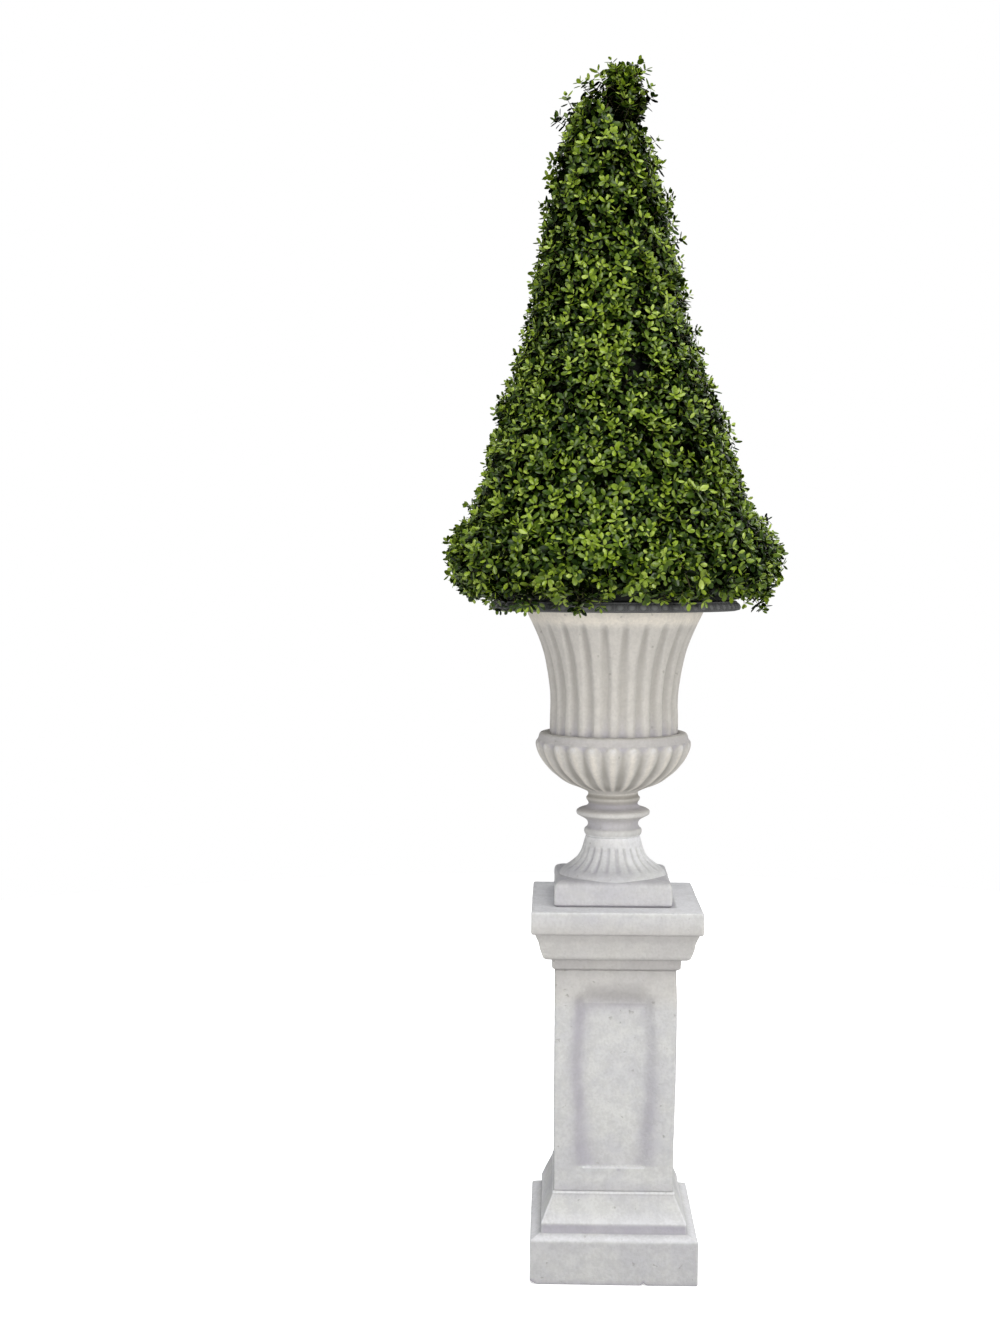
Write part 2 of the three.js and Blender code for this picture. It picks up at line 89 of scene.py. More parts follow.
CORNICE = [
    (0.0900, 0.5600, 0.60), (0.1080, 0.5600, 0.60), (0.1150, 0.5640, 0.50), (0.1155, 0.5720, 0.48),
    (0.1160, 0.5800, 0.55), (0.1166, 0.5808, 0.90), (0.1280, 0.5830, 0.50), (0.1312, 0.5865, 0.20),
    (0.1330, 0.5905, 0.00), (0.1348, 0.5960, 0.02), (0.1372, 0.6030, 0.16), (0.1395, 0.6150, 0.22),
    (0.1412, 0.6200, 0.34), (0.1435, 0.6250, 0.36), (0.1462, 0.6320, 0.50), (0.1200, 0.6320, 0.80),
]
# On the cap's top the pale tone is painted light where the plant's skirt shades it. Next to the block the tint is
# painted shade.
CAP = [
    (0.1100, 0.6320, 0.70), (0.1508, 0.6320, 0.70), (0.1523, 0.6345, 0.36), (0.1525, 0.6390, 0.26),
    (0.1525, 0.6460, 0.20), (0.1525, 0.6660, 0.18), (0.1525, 0.6712, -0.25), (0.1514, 0.6728, -0.60),
    (0.1400, 0.6732, -1.40), (0.1250, 0.6732, -1.40), (0.1100, 0.6732, -1.00), (0.1050, 0.6732, 0.50),
    (0.0800, 0.6732, 0.90),
]
# How far a piece of pedestal or urn stands to the right of the middle.
SHIFTS = {"pedestal_cornice": 0.0032, "pedestal_cap": 0.0032, "urn_block": -0.0028, "urn_foot": -0.0010,
          "urn_knop": -0.0006, "urn_bowl": -0.0012}
SIDE_COLUMNS = 64
CORNER_COLUMNS = 5
ROW_STEP = 0.0013
SHAFT_CORNER = 0.0045
# Heights where the wash on the panel's bevels begins, is full, wanes and ends.
BEVEL_WASH = (0.1985, 0.2060, 0.500, 0.530)

# The urn. Every fluted piece is divided into the same number of lobes, and one of them faces the camera.
LOBES = 24
LOBE_COLUMNS = 16
URN_TURN = math.radians(-1.95)
# The full tint at the block's foot, over the narrow groove, is painted shade: the dark contact line on the cap.
BLOCK = [
    (0.0800, 0.6700, 1.00), (0.1030, 0.6700, 1.00), (0.0995, 0.6736, 1.00), (0.1000, 0.6752, 1.00),
    (0.1052, 0.6757, 0.60), (0.1060, 0.6785, 0.36), (0.1060, 0.7060, 0.32), (0.1051, 0.7115, 0.24),
    (0.1015, 0.7155, 0.36), (0.0935, 0.7184, 0.52), (0.0800, 0.7190, 0.50),
]
KNOP_FOOT = 0.788
BOWL_FOOT = 0.869
BELL_SEAT = 0.976
BELL_TOP = 1.204
RIM_TOP = 1.222
RIM_RADIUS = 0.231
RIM_INNER = 0.158
KNOP_COLUMNS = 128
EGGS = 72
EGG_COLUMNS = 14
# Heights where the foot's flutes, the gadroons, the bowl's lip and the rim's ornament begin, are full, wane and end.
FOOT_FLUTES = (0.7262, 0.7345, 0.7665, 0.7740)
GADROONS = (0.8725, 0.880, 0.9590, 0.9665)
BOWL_LIP = (0.9590, 0.9670, 0.974, 0.980)
RIM_ORNAMENT = (1.2062, 1.2082, 1.2188, 1.2208)
FOOT_FLUTE_DEPTH = 0.0034
GADROON_DEPTH = 0.0085
BELL_FLUTE_DEPTH = 0.0060
RIM_DEPTH = 0.0020

# The plant. The outline is the clipped surface as (radius, height) pairs: it runs out from under the skirt,
# over the skirt's roll, up the cone and over the tip.
CROWN_TOP = 2.203
OUTLINE = [
    (0.226, 1.213), (0.278, 1.228), (0.307, 1.290), (0.294, 1.342), (0.257, 1.396), (0.217, 1.540),
    (0.161, 1.703), (0.130, 1.865), (0.097, 2.020), (0.071, 2.104), (0.060, 2.128), (0.043, 2.146),
    (0.039, 2.166), (0.032, 2.182), (0.016, 2.193), (0.000, 2.197),
]
SKIRT_LEVEL = 1.275
SKIRT_TOP = 1.402
CONE_TOP = 1.752
LEAN = -0.022
LEAN_FOOT = 1.208
LEAN_TOP = 2.050
LEAN_BACK = 0.032
TIP_FOOT = 2.085
TIP_SET = 2.155
STEM_TOP = 2.120
STEM_COLUMNS = 36
STEM_RADII = [(0.022, 1.208), (0.017, 1.224), (0.015, 1.254), (0.007, 2.120)]
MAT_INSET = 0.045
MAT_FOOT = 1.2238
MAT_TOP = 2.085
MAT_COLUMNS = 160
BOUGHS = 190
BOUGH_RADII = (0.0042, 0.0014)
SPRIGS = 5200
TIP_SHARE = 0.016
LOWEST_LEAF = 1.196
SPRIG_SPACING = 0.0165
TWIG_LENGTH = 0.056
STRAY_LENGTH = 0.085
STRAY_OUT = 0.004
TWIG_RADIUS = 0.0011
# Leaves stand in pairs, each pair square to the last. A pair is its distance from the twig's tip, its lean away
# from the twig in degrees, and its leaves' length.
PAIRS = [
    (0.0000, 26, 0.0098), (0.0028, 48, 0.0132), (0.0072, 62, 0.0154), (0.0138, 71, 0.0159), (0.0215, 78, 0.0155),
    (0.0300, 84, 0.0146),
]
LEAF_WIDTH = 0.60
LEAF_FOLD = -0.38
LEAF_BEND = -0.30
# Sprays that reach out of the clipped surface or hang over the rim, as (x, y, height) of their tips.
STRAYS = [
    (-0.0938, 0.00, 2.1368), (-0.1153, 0.00, 2.0943), (-0.1080, 0.02, 2.1050), (-0.0700, -0.02, 2.1560),
    (-0.0520, 0.01, 2.1660), (-0.0450, -0.01, 2.1500), (-0.0360, 0.00, 2.1790), (-0.0128, -0.02, 2.1930),
    (0.0412, 0.00, 2.1996), (0.0300, 0.02, 2.1950), (0.0540, -0.01, 2.1800), (0.0668, 0.00, 2.1355),
    (0.0620, -0.02, 2.1480), (0.0781, 0.00, 2.0573), (0.1059, 0.00, 1.9500), (0.1000, 0.01, 1.9640),
    (0.1227, 0.00, 1.8785), (-0.1240, 0.00, 1.9765), (-0.1385, 0.00, 1.9390), (0.1529, 0.00, 1.7130),
    (0.2140, 0.00, 1.5416), (0.3070, 0.00, 1.3110), (-0.3115, 0.00, 1.3100), (-0.2730, 0.00, 1.3960),
    (0.2830, 0.00, 1.3690), (-0.070, -0.282, 1.202), (-0.159, -0.250, 1.206), (-0.034, -0.282, 1.210),
    (0.120, -0.240, 1.217), (0.262, -0.060, 1.210), (-0.222, -0.170, 1.219), (0.274, 0.010, 1.212),
    (-0.226, -0.062, 1.212), (-0.221, -0.088, 1.206), (-0.213, -0.110, 1.205), (-0.206, -0.130, 1.203),
    (-0.196, -0.154, 1.201), (-0.186, -0.174, 1.206), (-0.140, -0.212, 1.211), (-0.105, -0.228, 1.213),
    (-0.176, -0.184, 1.209), (0.273, 0.000, 1.200), (0.279, 0.020, 1.204), (-0.236, -0.040, 1.217),
    (0.055, -0.246, 1.221), (0.150, -0.206, 1.220), (-0.165, -0.246, 1.210), (-0.153, -0.252, 1.212),
    (-0.160, -0.247, 1.214), (-0.076, -0.279, 1.208), (-0.064, -0.283, 1.209), (-0.071, -0.281, 1.213),
]
# How steeply such a spray rises by its height, as (height, rise).
STRAY_RISES = [(1.20, -1.6), (1.26, -0.9), (1.32, 0.0), (1.50, 0.4), (2.10, 0.5), (2.20, 2.4)]
# Dark hollows in the clipped surface, as (x, y, height, radius): no sprig ends in them.
HOLLOWS = [
    (-0.008, -0.040, 2.150, 0.018), (0.006, -0.010, 2.192, 0.012), (-0.012, -0.055, 2.120, 0.026),
    (-0.006, -0.065, 2.085, 0.020), (0.020, -0.115, 1.905, 0.020), (-0.060, -0.080, 1.890, 0.022),
    (0.040, -0.165, 1.640, 0.020), (-0.095, -0.150, 1.580, 0.022), (0.130, -0.180, 1.500, 0.022),
    (-0.020, -0.245, 1.430, 0.022),
]
# The greens as (name, gloss, leaf, lighter leaf, darker leaf), and the ages at which a leaf passes to the next one.
# The age also carries painted shade, so deeper leaves get darker greens.
GREENS = [
    ("spring", 0.45, (135, 160, 34), (168, 188, 84), (104, 130, 22)),
    ("fresh", 0.38, (89, 113, 22), (123, 145, 54), (62, 85, 13)),
    ("green", 0.30, (50, 73, 13), (80, 102, 33), (32, 51, 7)),
    ("deep", 0.12, (23, 41, 5), (40, 62, 13), (13, 27, 3)),
    ("shade", 0.05, (5, 11, 0), (11, 21, 2), (2, 6, 0)),
]
AGE_STEPS = [0.13, 0.34, 0.54, 0.74]
# Inner pairs get darker greens: older leaves, and painted shade deep in the sprig.
PAIR_AGE = 0.245
YOUNG_PAIRS = 1.19
MASSES = [("foliage_skirt", -1.0, SKIRT_TOP), ("foliage_cone", SKIRT_TOP, CONE_TOP), ("foliage_top", CONE_TOP, 9.0)]
FOLIAGE = [mass[0] for mass in MASSES]
GOLDEN_ANGLE = math.pi * (3 - math.sqrt(5))
UP = np.array([0.0, 0.0, 1.0])

# Heights where the wash is brown: it begins, is full, wanes and is gone. On the bell it lasts to the top, and so does
# the warmer stone of the urn, so these two have only the first two heights.
CAP_STAIN = (0.480, 0.520, 0.636, 0.664)
BOWL_STAIN = (0.842, 0.856, 0.944, 0.962)
BELL_STAIN = (0.985, 1.03)
WARM_STONE = (0.750, 0.870)

# The light, as (name, where it comes from, degrees of spread, power, tint), and the floor.
LIGHTS = [
    ("right_light", (1.8, -2.1, 0.12), 36.0, 1.74, (1.0, 0.985, 0.955)),
    ("left_light", (-2.2, -1.9, 0.12), 36.0, 1.30, (1.0, 0.99, 0.975)),
    ("front_light", (0.3, -1.6, 1.9), 40.0, 0.64, (1.0, 0.995, 0.98)),
    ("back_light", (1.2, 2.0, 1.1), 45.0, 0.80, (1.0, 0.995, 0.985)),
    ("top_light", (0.15, -0.30, 3.0), 50.0, 1.50, (1.0, 0.995, 0.985)),
]
AIR_SEEN = 1.0
AIR_LIGHT = 0.25
FLOOR_RADIUS = 4.0


# Camera, air and light

def in_scene(name, data):
    """A new object that holds this data, linked into the scene."""
    made = bpy.data.objects.new(name, data)
    bpy.context.scene.collection.objects.link(made)
    return made


def place_camera():
    """The camera at the picture's viewing angle: turned about Z, tilted about X, then rolled about its own axis."""
    data = bpy.data.cameras.new("camera")
    data.lens = FOCAL_PIXELS * SENSOR / LONG_SIDE_PIXELS
    data.sensor_width = SENSOR
    camera = in_scene("camera", data)
    turn = Matrix.Rotation(CAMERA_HEADING, 4, "Z")
    tilt = Matrix.Rotation(math.pi / 2 - CAMERA_PITCH, 4, "X")
    roll = Matrix.Rotation(CAMERA_ROLL, 4, "Z")
    camera.matrix_world = Matrix.Translation(CAMERA_PLACE) @ turn @ tilt @ roll
    bpy.context.scene.camera = camera


def white_air(seen, given):
    """The white air round the set: it is seen at one strength and lights the set at another."""
    world = bpy.data.worlds.new("white_air")
    world.use_nodes = True
    tree = world.node_tree
    tree.nodes.clear()
    path = add(tree, "LightPath")
    lit = add(tree, "Background", inputs={"Color": (0.93, 0.96, 1.0, 1.0), "Strength": given})
    shown = add(tree, "Background", inputs={"Color": (1.0, 1.0, 1.0, 1.0), "Strength": seen})
    both = {0: path.outputs["Is Camera Ray"], 1: lit.outputs[0], 2: shown.outputs[0]}
    air = add(tree, "MixShader", inputs=both)
    add(tree, "OutputWorld", inputs={"Surface": air.outputs[0]})
    bpy.context.scene.world = world


def sun_light(name, towards, spread, power, tint):
    """Light as even as a wide studio wall of soft boxes: it comes from one direction, spread over so many degrees."""
    data = bpy.data.lights.new(name, "SUN")
    data.angle = math.radians(spread)
    data.energy = power
    data.color = tint
    in_scene(name, data).matrix_world = (-Vector(towards)).to_track_quat("-Z", "Y").to_matrix().to_4x4()


# Shader building

def colour(red, green, blue):
    """A colour given as it shows on a screen, 0 to 255, as the linear numbers that a shader takes."""
    shown = np.array([red, green, blue]) / 255
    linear = np.where(shown <= 0.04045, shown / 12.92, ((shown + 0.055) / 1.055) ** 2.4)
    return (*linear.tolist(), 1.0)


def add(tree, kind, settings=None, inputs=None):
    """Adds a shader node. An input is a value, a screen colour as three numbers, or the socket that feeds it."""
    made = tree.nodes.new("ShaderNode" + kind)
    for key, value in (settings or {}).items():
        setattr(made, key, value)
    for key, value in (inputs or {}).items():
        if isinstance(value, bpy.types.NodeSocket):
            tree.links.new(value, made.inputs[key])
        elif isinstance(value, tuple) and len(value) == 3:
            made.inputs[key].default_value = colour(*value)
        else:
            made.inputs[key].default_value = value
    return made


def mixed(tree, factor, first, second):
    """The colour between two colours: (1 - f) A + f B, with f kept from 0 to 1."""
    settings = {"data_type": "RGBA", "clamp_factor": True}
    return add(tree, "Mix", settings, {0: factor, 6: first, 7: second}).outputs[2]


def sums(tree, operation, first, second):
    """One step of arithmetic on two values."""
    return add(tree, "Math", {"operation": operation}, {0: first, 1: second}).outputs[0]


def times(tree, first, second):
    """The product of two values."""
    return sums(tree, "MULTIPLY", first, second)


def between(tree, value, low, high):
    """0 below low, 1 above high, and a smooth rise between them."""
    settings = {"interpolation_type": "SMOOTHSTEP"}
    return add(tree, "MapRange", settings, {0: value, 1: low, 2: high}).outputs[0]


def stained(tree, height, foot, full, waning, gone):
    """1 along a stretch of height: it rises from foot to full, and falls from waning to gone."""
    return times(tree, between(tree, height, foot, full), between(tree, height, gone, waning))


def six_to_four(tree, first, second):
    """Six parts of one value and four of another."""
    return sums(tree, "ADD", times(tree, first, 0.6), times(tree, second, 0.4))


def noise(tree, scale, detail):
    """Soft random values from 0 to 1, with so many swells to the metre and so many finer layers."""
    place = add(tree, "TexCoord").outputs["Object"]
    return add(tree, "TexNoise", None, {"Vector": place, "Scale": scale, "Detail": detail}).outputs[0]


def shader_group(name, inputs, outputs):
    """A node group with named sockets, as the group, the sockets of its inputs and those of its outputs.

    An input is a colour where its usual value is one, and else a number.
    """
    group = bpy.data.node_groups.new(name, "ShaderNodeTree")
    for label, value in inputs.items():
        kind = "NodeSocketColor" if isinstance(value, tuple) else "NodeSocketFloat"
        group.interface.new_socket(label, in_out="INPUT", socket_type=kind).default_value = value
    for label in outputs:
        kind = "NodeSocketColor" if label == "Color" else "NodeSocketFloat"
        group.interface.new_socket(label, in_out="OUTPUT", socket_type=kind)
    return group, group.nodes.new("NodeGroupInput").outputs, group.nodes.new("NodeGroupOutput").inputs


def patches_group():
    """Broad and fine patches of a second colour over a ground colour, by two sizes of noise."""
    inputs = {"Ground": (0.8, 0.8, 0.8, 1.0), "Patch": (0.6, 0.6, 0.6, 1.0), "Scale": 10.0, "Share": 0.5}
    group, given, made = shader_group("patches", inputs, ["Color"])
    broad = noise(group, given["Scale"], 2.0)
    fine = noise(group, times(group, given["Scale"], 5.3), 4.0)
    edge = sums(group, "SUBTRACT", 1.0, given["Share"])
    low = sums(group, "SUBTRACT", edge, 0.13)
    high = sums(group, "ADD", edge, 0.13)
    mask = between(group, six_to_four(group, broad, fine), low, high)
    group.links.new(mixed(group, mask, given["Ground"], given["Patch"]), made["Color"])
    return group


def grain_group():
    """A sandy grain as a height from 0 to 1, and the small pits in it as a mask."""
    group, given, made = shader_group("grain", {"Scale": 200.0, "Pits": 0.3}, ["Height", "Pits"])
    sand = noise(group, given["Scale"], 4.0)
    broad = noise(group, times(group, given["Scale"], 0.22), 2.0)
    dots = noise(group, times(group, given["Scale"], 0.55), 1.0)
    edge = sums(group, "SUBTRACT", 1.0, given["Pits"])
    pits = between(group, dots, edge, sums(group, "ADD", edge, 0.06))
    height = sums(group, "SUBTRACT", six_to_four(group, sand, broad), times(group, pits, 0.5))
    group.links.new(height, made["Height"])
    group.links.new(pits, made["Pits"])
    return group


def wash_group():
    """A brushed wash, also used as painted shade, where the point value "hollow" is above 0, and a pale worn tone,
    also used as painted light, where it is below 0.
    """
    inputs = {"Ground": (0.8, 0.8, 0.8, 1.0), "Wash_and_painted_shade": (0.5, 0.5, 0.5, 1.0), "Worn_and_painted_light": (0.9, 0.9, 0.9, 1.0),
              "Scale": 22.0}
    group, given, made = shader_group("wash", inputs, ["Color"])
    hollow = add(group, "Attribute", {"attribute_name": "hollow"}).outputs["Fac"]
    brushed = sums(group, "ADD", 0.50, noise(group, given["Scale"], 4.0))
    tone = given["Ground"]
    for way, tint in ((1.0, "Wash_and_painted_shade"), (-1.0, "Worn_and_painted_light")):
        share = sums(group, "MAXIMUM", times(group, hollow, way), 0.0)
        tone = mixed(group, times(group, share, brushed), tone, given[tint])
    group.links.new(tone, made["Color"])
    return group


def leaf_group():
    """A leaf's green by its own number: some leaves are yellower and lighter, others duller and darker."""
    inputs = {"Green": (0.1, 0.2, 0.03, 1.0), "Light": (0.2, 0.3, 0.05, 1.0), "Dark": (0.03, 0.07, 0.02, 1.0)}
    group, given, made = shader_group("leaf_green", inputs, ["Color"])
    own = add(group, "Attribute", {"attribute_name": "leaf"}).outputs["Fac"]
    bloom = times(group, between(group, noise(group, 260.0, 2.0), 0.42, 0.72), 0.35)
    lighter = mixed(group, between(group, own, 0.55, 1.0), given["Green"], given["Light"])
    darker = mixed(group, between(group, own, 0.45, 0.0), lighter, given["Dark"])
    group.links.new(mixed(group, bloom, darker, given["Light"]), made["Color"])
    return group


def new_material(name, roughness, gloss=0.5):
    """A material with one Principled shader, as the material, its node tree and the shader's inputs."""
    material = bpy.data.materials.new(name)
    material.use_nodes = True
    shader = material.node_tree.nodes["Principled BSDF"].inputs
    shader["Roughness"].default_value = roughness
    shader["Specular IOR Level"].default_value = gloss
    return material, material.node_tree, shader


def tinted(tree, group, inputs):
    """The colour of a shader group in a material, with the material's own values."""
    return add(tree, "Group", {"node_tree": group}, inputs).outputs["Color"]


def patched(tree, ground, patch, scale):
    """Patches of one colour on as much ground of another."""
    return tinted(tree, patches, {"Ground": ground, "Patch": patch, "Scale": scale})


def grained(tree, shader, scale, pits, depth, strength):
    """Feeds a grain of this scale and depth into the shader's normal. It returns the grain's sockets."""
    sand = add(tree, "Group", {"node_tree": grain}, {"Scale": scale, "Pits": pits}).outputs
    heights = {"Height": sand["Height"], "Distance": depth, "Strength": strength}
    tree.links.new(add(tree, "Bump", None, heights).outputs["Normal"], shader["Normal"])
    return sand


def cast_stone():
    """Matt ivory stone effect: faint cool patches, a wash in the hollows, paler worn ridges and small pits. The wash
    also serves as painted shade and the pale tone as painted light.

    The wash is lilac on the pedestal and where bell and bowl meet. It is grey brown under the cap and in the flutes
    of bowl and bell, where the stone is warmer too.
    """
    material, tree, shader = new_material("cast_stone", 0.9, 0.25)
    tone = patched(tree, (212, 212, 210), (199, 199, 201), 9.0)
    sand = grained(tree, shader, 190.0, 0.27, 0.0021, 1.0)
    place = add(tree, "TexCoord").outputs["Object"]
    height = add(tree, "SeparateXYZ", None, {"Vector": place}).outputs["Z"]
    under_cap = stained(tree, height, *CAP_STAIN)
    in_urn = sums(tree, "ADD", stained(tree, height, *BOWL_STAIN), between(tree, height, *BELL_STAIN))
    warm = sums(tree, "ADD", in_urn, times(tree, under_cap, 0.6))
    urn_ground = times(tree, between(tree, height, *WARM_STONE), 0.9)
    warm_ground = sums(tree, "ADD", urn_ground, times(tree, under_cap, 0.5))
    # The wash colour also paints shade, and the worn colour also paints light, where the hollow values ask for it.
    washed = tinted(tree, wash, {
        "Ground": mixed(tree, warm_ground, tone, (203, 199, 193)),
        "Wash_and_painted_shade": mixed(tree, warm, (174, 171, 180), (159, 155, 148)),
        "Worn_and_painted_light": mixed(tree, warm, (236, 236, 239), (243, 236, 224)),
    })
    specks = times(tree, between(tree, sand["Height"], 0.40, 0.60), 0.16)
    sandy = mixed(tree, specks, washed, (150, 148, 144))
    pitted = mixed(tree, times(tree, sand["Pits"], 0.35), sandy, (150, 146, 140))
    tree.links.new(pitted, shader["Base Color"])
    return material


def slate_rim():
    """Matt slate grey, with a paler tone on the raised ornament as a painted highlight and a darker ground between as
    painted shade.
    """
    material, tree, shader = new_material("slate_rim", 0.78)
    tone = patched(tree, (104, 105, 106), (90, 91, 91), 30.0)
    rim_painted_light_and_shade = tinted(tree, wash, {"Ground": tone, "Wash_and_painted_shade": (54, 55, 56), "Worn_and_painted_light": (122, 123, 124), "Scale": 60.0})
    tree.links.new(rim_painted_light_and_shade, shader["Base Color"])
    grained(tree, shader, 420.0, 0.3, 0.0008, 0.5)
    return material


def plain_rough(name, ground, patch, scale, grain_scale, depth):
    """A rough two-tone finish, for what shows little: filling, bark, boughs, twigs and mat."""
    material, tree, shader = new_material(name, 0.9)
    tree.links.new(patched(tree, ground, patch, scale), shader["Base Color"])
    grained(tree, shader, grain_scale, 0.3, depth, 0.8)
    return material


def boxwood_leaf(name, gloss, green, light, dark):
    """Leaves of one green: the young ones are glossy, and the old ones inside are dull."""
    material, tree, shader = new_material("leaf_" + name, 0.28, gloss)
    tree.links.new(tinted(tree, leaf_green, {"Green": green, "Light": light, "Dark": dark}), shader["Base Color"])
    return material


def white_floor():
    """Matt off-white paper, burnt out where it is seen, as in a picture lit from all round."""
    material, tree, shader = new_material("white_floor", 1.0, 0.0)
    seen = add(tree, "LightPath").outputs["Is Camera Ray"]
    tone = patched(tree, (0.50, 0.50, 0.50, 1.0), (0.48, 0.48, 0.48, 1.0), 1.5)
    tree.links.new(mixed(tree, seen, tone, (0.95, 0.95, 0.95, 1.0)), shader["Base Color"])
    tree.links.new(times(tree, seen, 0.6), shader["Emission Strength"])
    shader["Emission Color"].default_value = (1.0, 1.0, 1.0, 1.0)
    return material


# Profiles, as rows of (radius or half width, height)

def even_steps(path, step):
    """The same path with its rows evenly spaced: each column is read at equal shares of the length."""
    path = np.asarray(path, float)
    along = np.concatenate([[0.0], np.cumsum(np.linalg.norm(np.diff(path[:, :2], axis=0), axis=1))])
    wanted = np.linspace(0.0, along[-1], max(int(round(along[-1] / step)), 1) + 1)
    return np.stack([np.interp(wanted, along, column) for column in path.T], axis=1)


def rounded(points, radius, step):
    """Straight lines through the points, with each corner cut off at the radius and joined by a parabola.

    The parabola is (1-t)^2 A + 2t(1-t) C + t^2 B, where C is the corner, and A and B are where it is cut. A third
    number in the points, such as a wash, is carried along in the same way.
    """
    points = np.asarray(points, float)
    corner = points[1:-1]
    before = corner - points[:-2]
    after = points[2:] - corner
    run_before = np.linalg.norm(before[:, :2], axis=1, keepdims=True)
    run_after = np.linalg.norm(after[:, :2], axis=1, keepdims=True)
    cut = np.minimum(radius, np.minimum(run_before, run_after) / 2)
    start = corner - before / run_before * cut
    end = corner + after / run_after * cut
    t = np.linspace(0, 1, 9)[None, :, None]
    bends = (1 - t) ** 2 * start[:, None] + 2 * t * (1 - t) * corner[:, None] + t ** 2 * end[:, None]
    return even_steps(np.concatenate([points[:1], bends.reshape(-1, points.shape[1]), points[-1:]]), step)


def curve_through(points, step):
    """A smooth run through the points: each piece is the cubic whose ends have half the chord of their neighbours.

    It has 24 samples between two points, and is then spaced evenly.
    """
    points = np.asarray(points, float)
    before = np.concatenate([points[:1], points[:-1]])[:-1, None]
    start = points[:-1, None]
    end = points[1:, None]
    after = np.concatenate([points[1:], points[-1:]])[1:, None]
    t = np.linspace(0, 1, 24, endpoint=False)[None, :, None]
    cubic = 0.5 * (2 * start + (end - before) * t + (2 * before - 5 * start + 4 * end - after) * t ** 2
                   + (3 * start - 3 * end + after - before) * t ** 3)
    return even_steps(np.concatenate([cubic.reshape(-1, 2), points[-1:]]), step)


def unit(vectors):
    """The same directions with length 1."""
    return vectors / np.maximum(np.linalg.norm(vectors, axis=-1, keepdims=True), 1e-9)


def hollows(profile, reach):
    """How hollow each row lies, from -1 on a ridge to 1 in a hollow.

    It is how far the mean of the rows within reach stands out from the row, along the outward normal.
    """
    spacing = np.linalg.norm(np.diff(profile, axis=0), axis=1).mean()
    window = max(int(reach / spacing), 1)
    padded = np.pad(profile, ((window, window), (0, 0)), mode="edge")
    weights = np.ones(2 * window + 1) / (2 * window + 1)
    mean = np.stack([np.convolve(padded[:, i], weights, mode="valid") for i in (0, 1)], axis=1)
    tangent = np.gradient(profile, axis=0)
    normal = unit(np.stack([tangent[:, 1], -tangent[:, 0]], axis=1))
    return np.clip(((mean - profile) * normal).sum(axis=1) / (0.30 * reach), -1, 1)


def read(table, height, column):
    """A column of a table whose first column is the height, read at other heights along straight lines."""
    table = np.array(table)
    return np.interp(height, table[:, 0], table[:, column])


def ramp(value, low, high):
    """Rises smoothly from 0 at low to 1 at high."""
    t = np.clip((value - low) / (high - low), 0, 1)
    return t * t * (3 - 2 * t)


def stretch(value, foot, full, waning, gone):
    """1 along a stretch: it rises from foot to full, and falls from waning to gone."""
    return ramp(value, foot, full) * (1 - ramp(value, waning, gone))


def hump(value, low, high):
    """The parabola 4t(1 - t), which is 0 at low and high and 1 between them."""
    t = np.clip((value - low) / (high - low), 0, 1)
    return 4 * t * (1 - t)


def full_turn(count):
    """So many angles, evenly spaced round a full turn."""
    return np.arange(count) / count * 2 * math.pi


def bearings(angles):
    """Level directions, with angle 0 at the front."""
    return np.stack([np.sin(angles), -np.cos(angles), 0 * angles], axis=-1)


# Surfaces, as grids of points with rows up the profile and columns round it

def swell(points, wavelength, seed):
    """A soft random swell from about -1 to 1: the mean of sine waves that run in random directions."""
    random = np.random.default_rng(seed)
    waves = unit(random.normal(size=(14, 3)))
    waves *= 2 * math.pi / wavelength * random.uniform(0.7, 1.5, (14, 1))
    phases = random.uniform(0, 2 * math.pi, 14)
    return np.sin(points @ waves.T + phases).mean(axis=-1) * 2.2


def pushed(grid, move):
    """Moves each of a grid's points level and away from the axis."""
    return grid + unit(grid * (1, 1, 0)) * move[..., None]


def uneven(grid, amount, seed):
    """Moves a grid's points in or out by two sizes of swell, as a hand-finished casting is uneven."""
    return pushed(grid, amount * (0.6 * swell(grid, 0.16, seed) + 0.4 * swell(grid, 0.045, seed + 1)))


def turned(profile, angles, inwards=0.0):
    """P(u, v) = ((r(v) - d(u, v)) sin u, -(r(v) - d(u, v)) cos u, z(v)), with u = 0 at the front."""
    radius = profile[:, :1] - inwards
    height = np.broadcast_to(profile[:, 1:], radius.shape if radius.shape[1] > 1 else (len(profile), len(angles)))
    return np.stack([radius * np.sin(angles), -radius * np.cos(angles), height], axis=-1)


def square_columns():
    """The columns round a square plan with rounded corners: place S on the unit square, and outward direction N.

    Along a side S runs from corner to corner and N is the side's own. Round a corner S stays and N turns.
    """
    along = np.concatenate([np.linspace(-1, 1, SIDE_COLUMNS), np.ones(CORNER_COLUMNS)])
    turn = np.concatenate([np.zeros(SIDE_COLUMNS), np.linspace(0, math.pi / 2, CORNER_COLUMNS + 2)[1:-1]])
    place = np.stack([along, -np.ones_like(along)], axis=1)
    outward = np.stack([np.sin(turn), -np.cos(turn)], axis=1)
    quarter = [np.array([[math.cos(a), math.sin(a)], [-math.sin(a), math.cos(a)]])
               for a in (math.pi / 2) * np.arange(4)]
    places = np.concatenate([place @ q for q in quarter])
    outwards = np.concatenate([outward @ q for q in quarter])
    return places, outwards, np.tile(along, 4), np.tile(turn, 4)


def squared(profile, corner, inwards=0.0):
    """P(u, v) = (h(v) - c) S(u) + (c - d(u, v)) N(u) level, and z(v) up, on a square plan of half width h."""
    places, outwards, _, _ = square_columns()
    level = (profile[:, None, :1] - corner) * places + (corner - np.asarray(inwards)[..., None]) * outwards
    height = np.broadcast_to(profile[:, None, 1:2], (*level.shape[:2], 1))
    return np.concatenate([level, height], axis=-1)


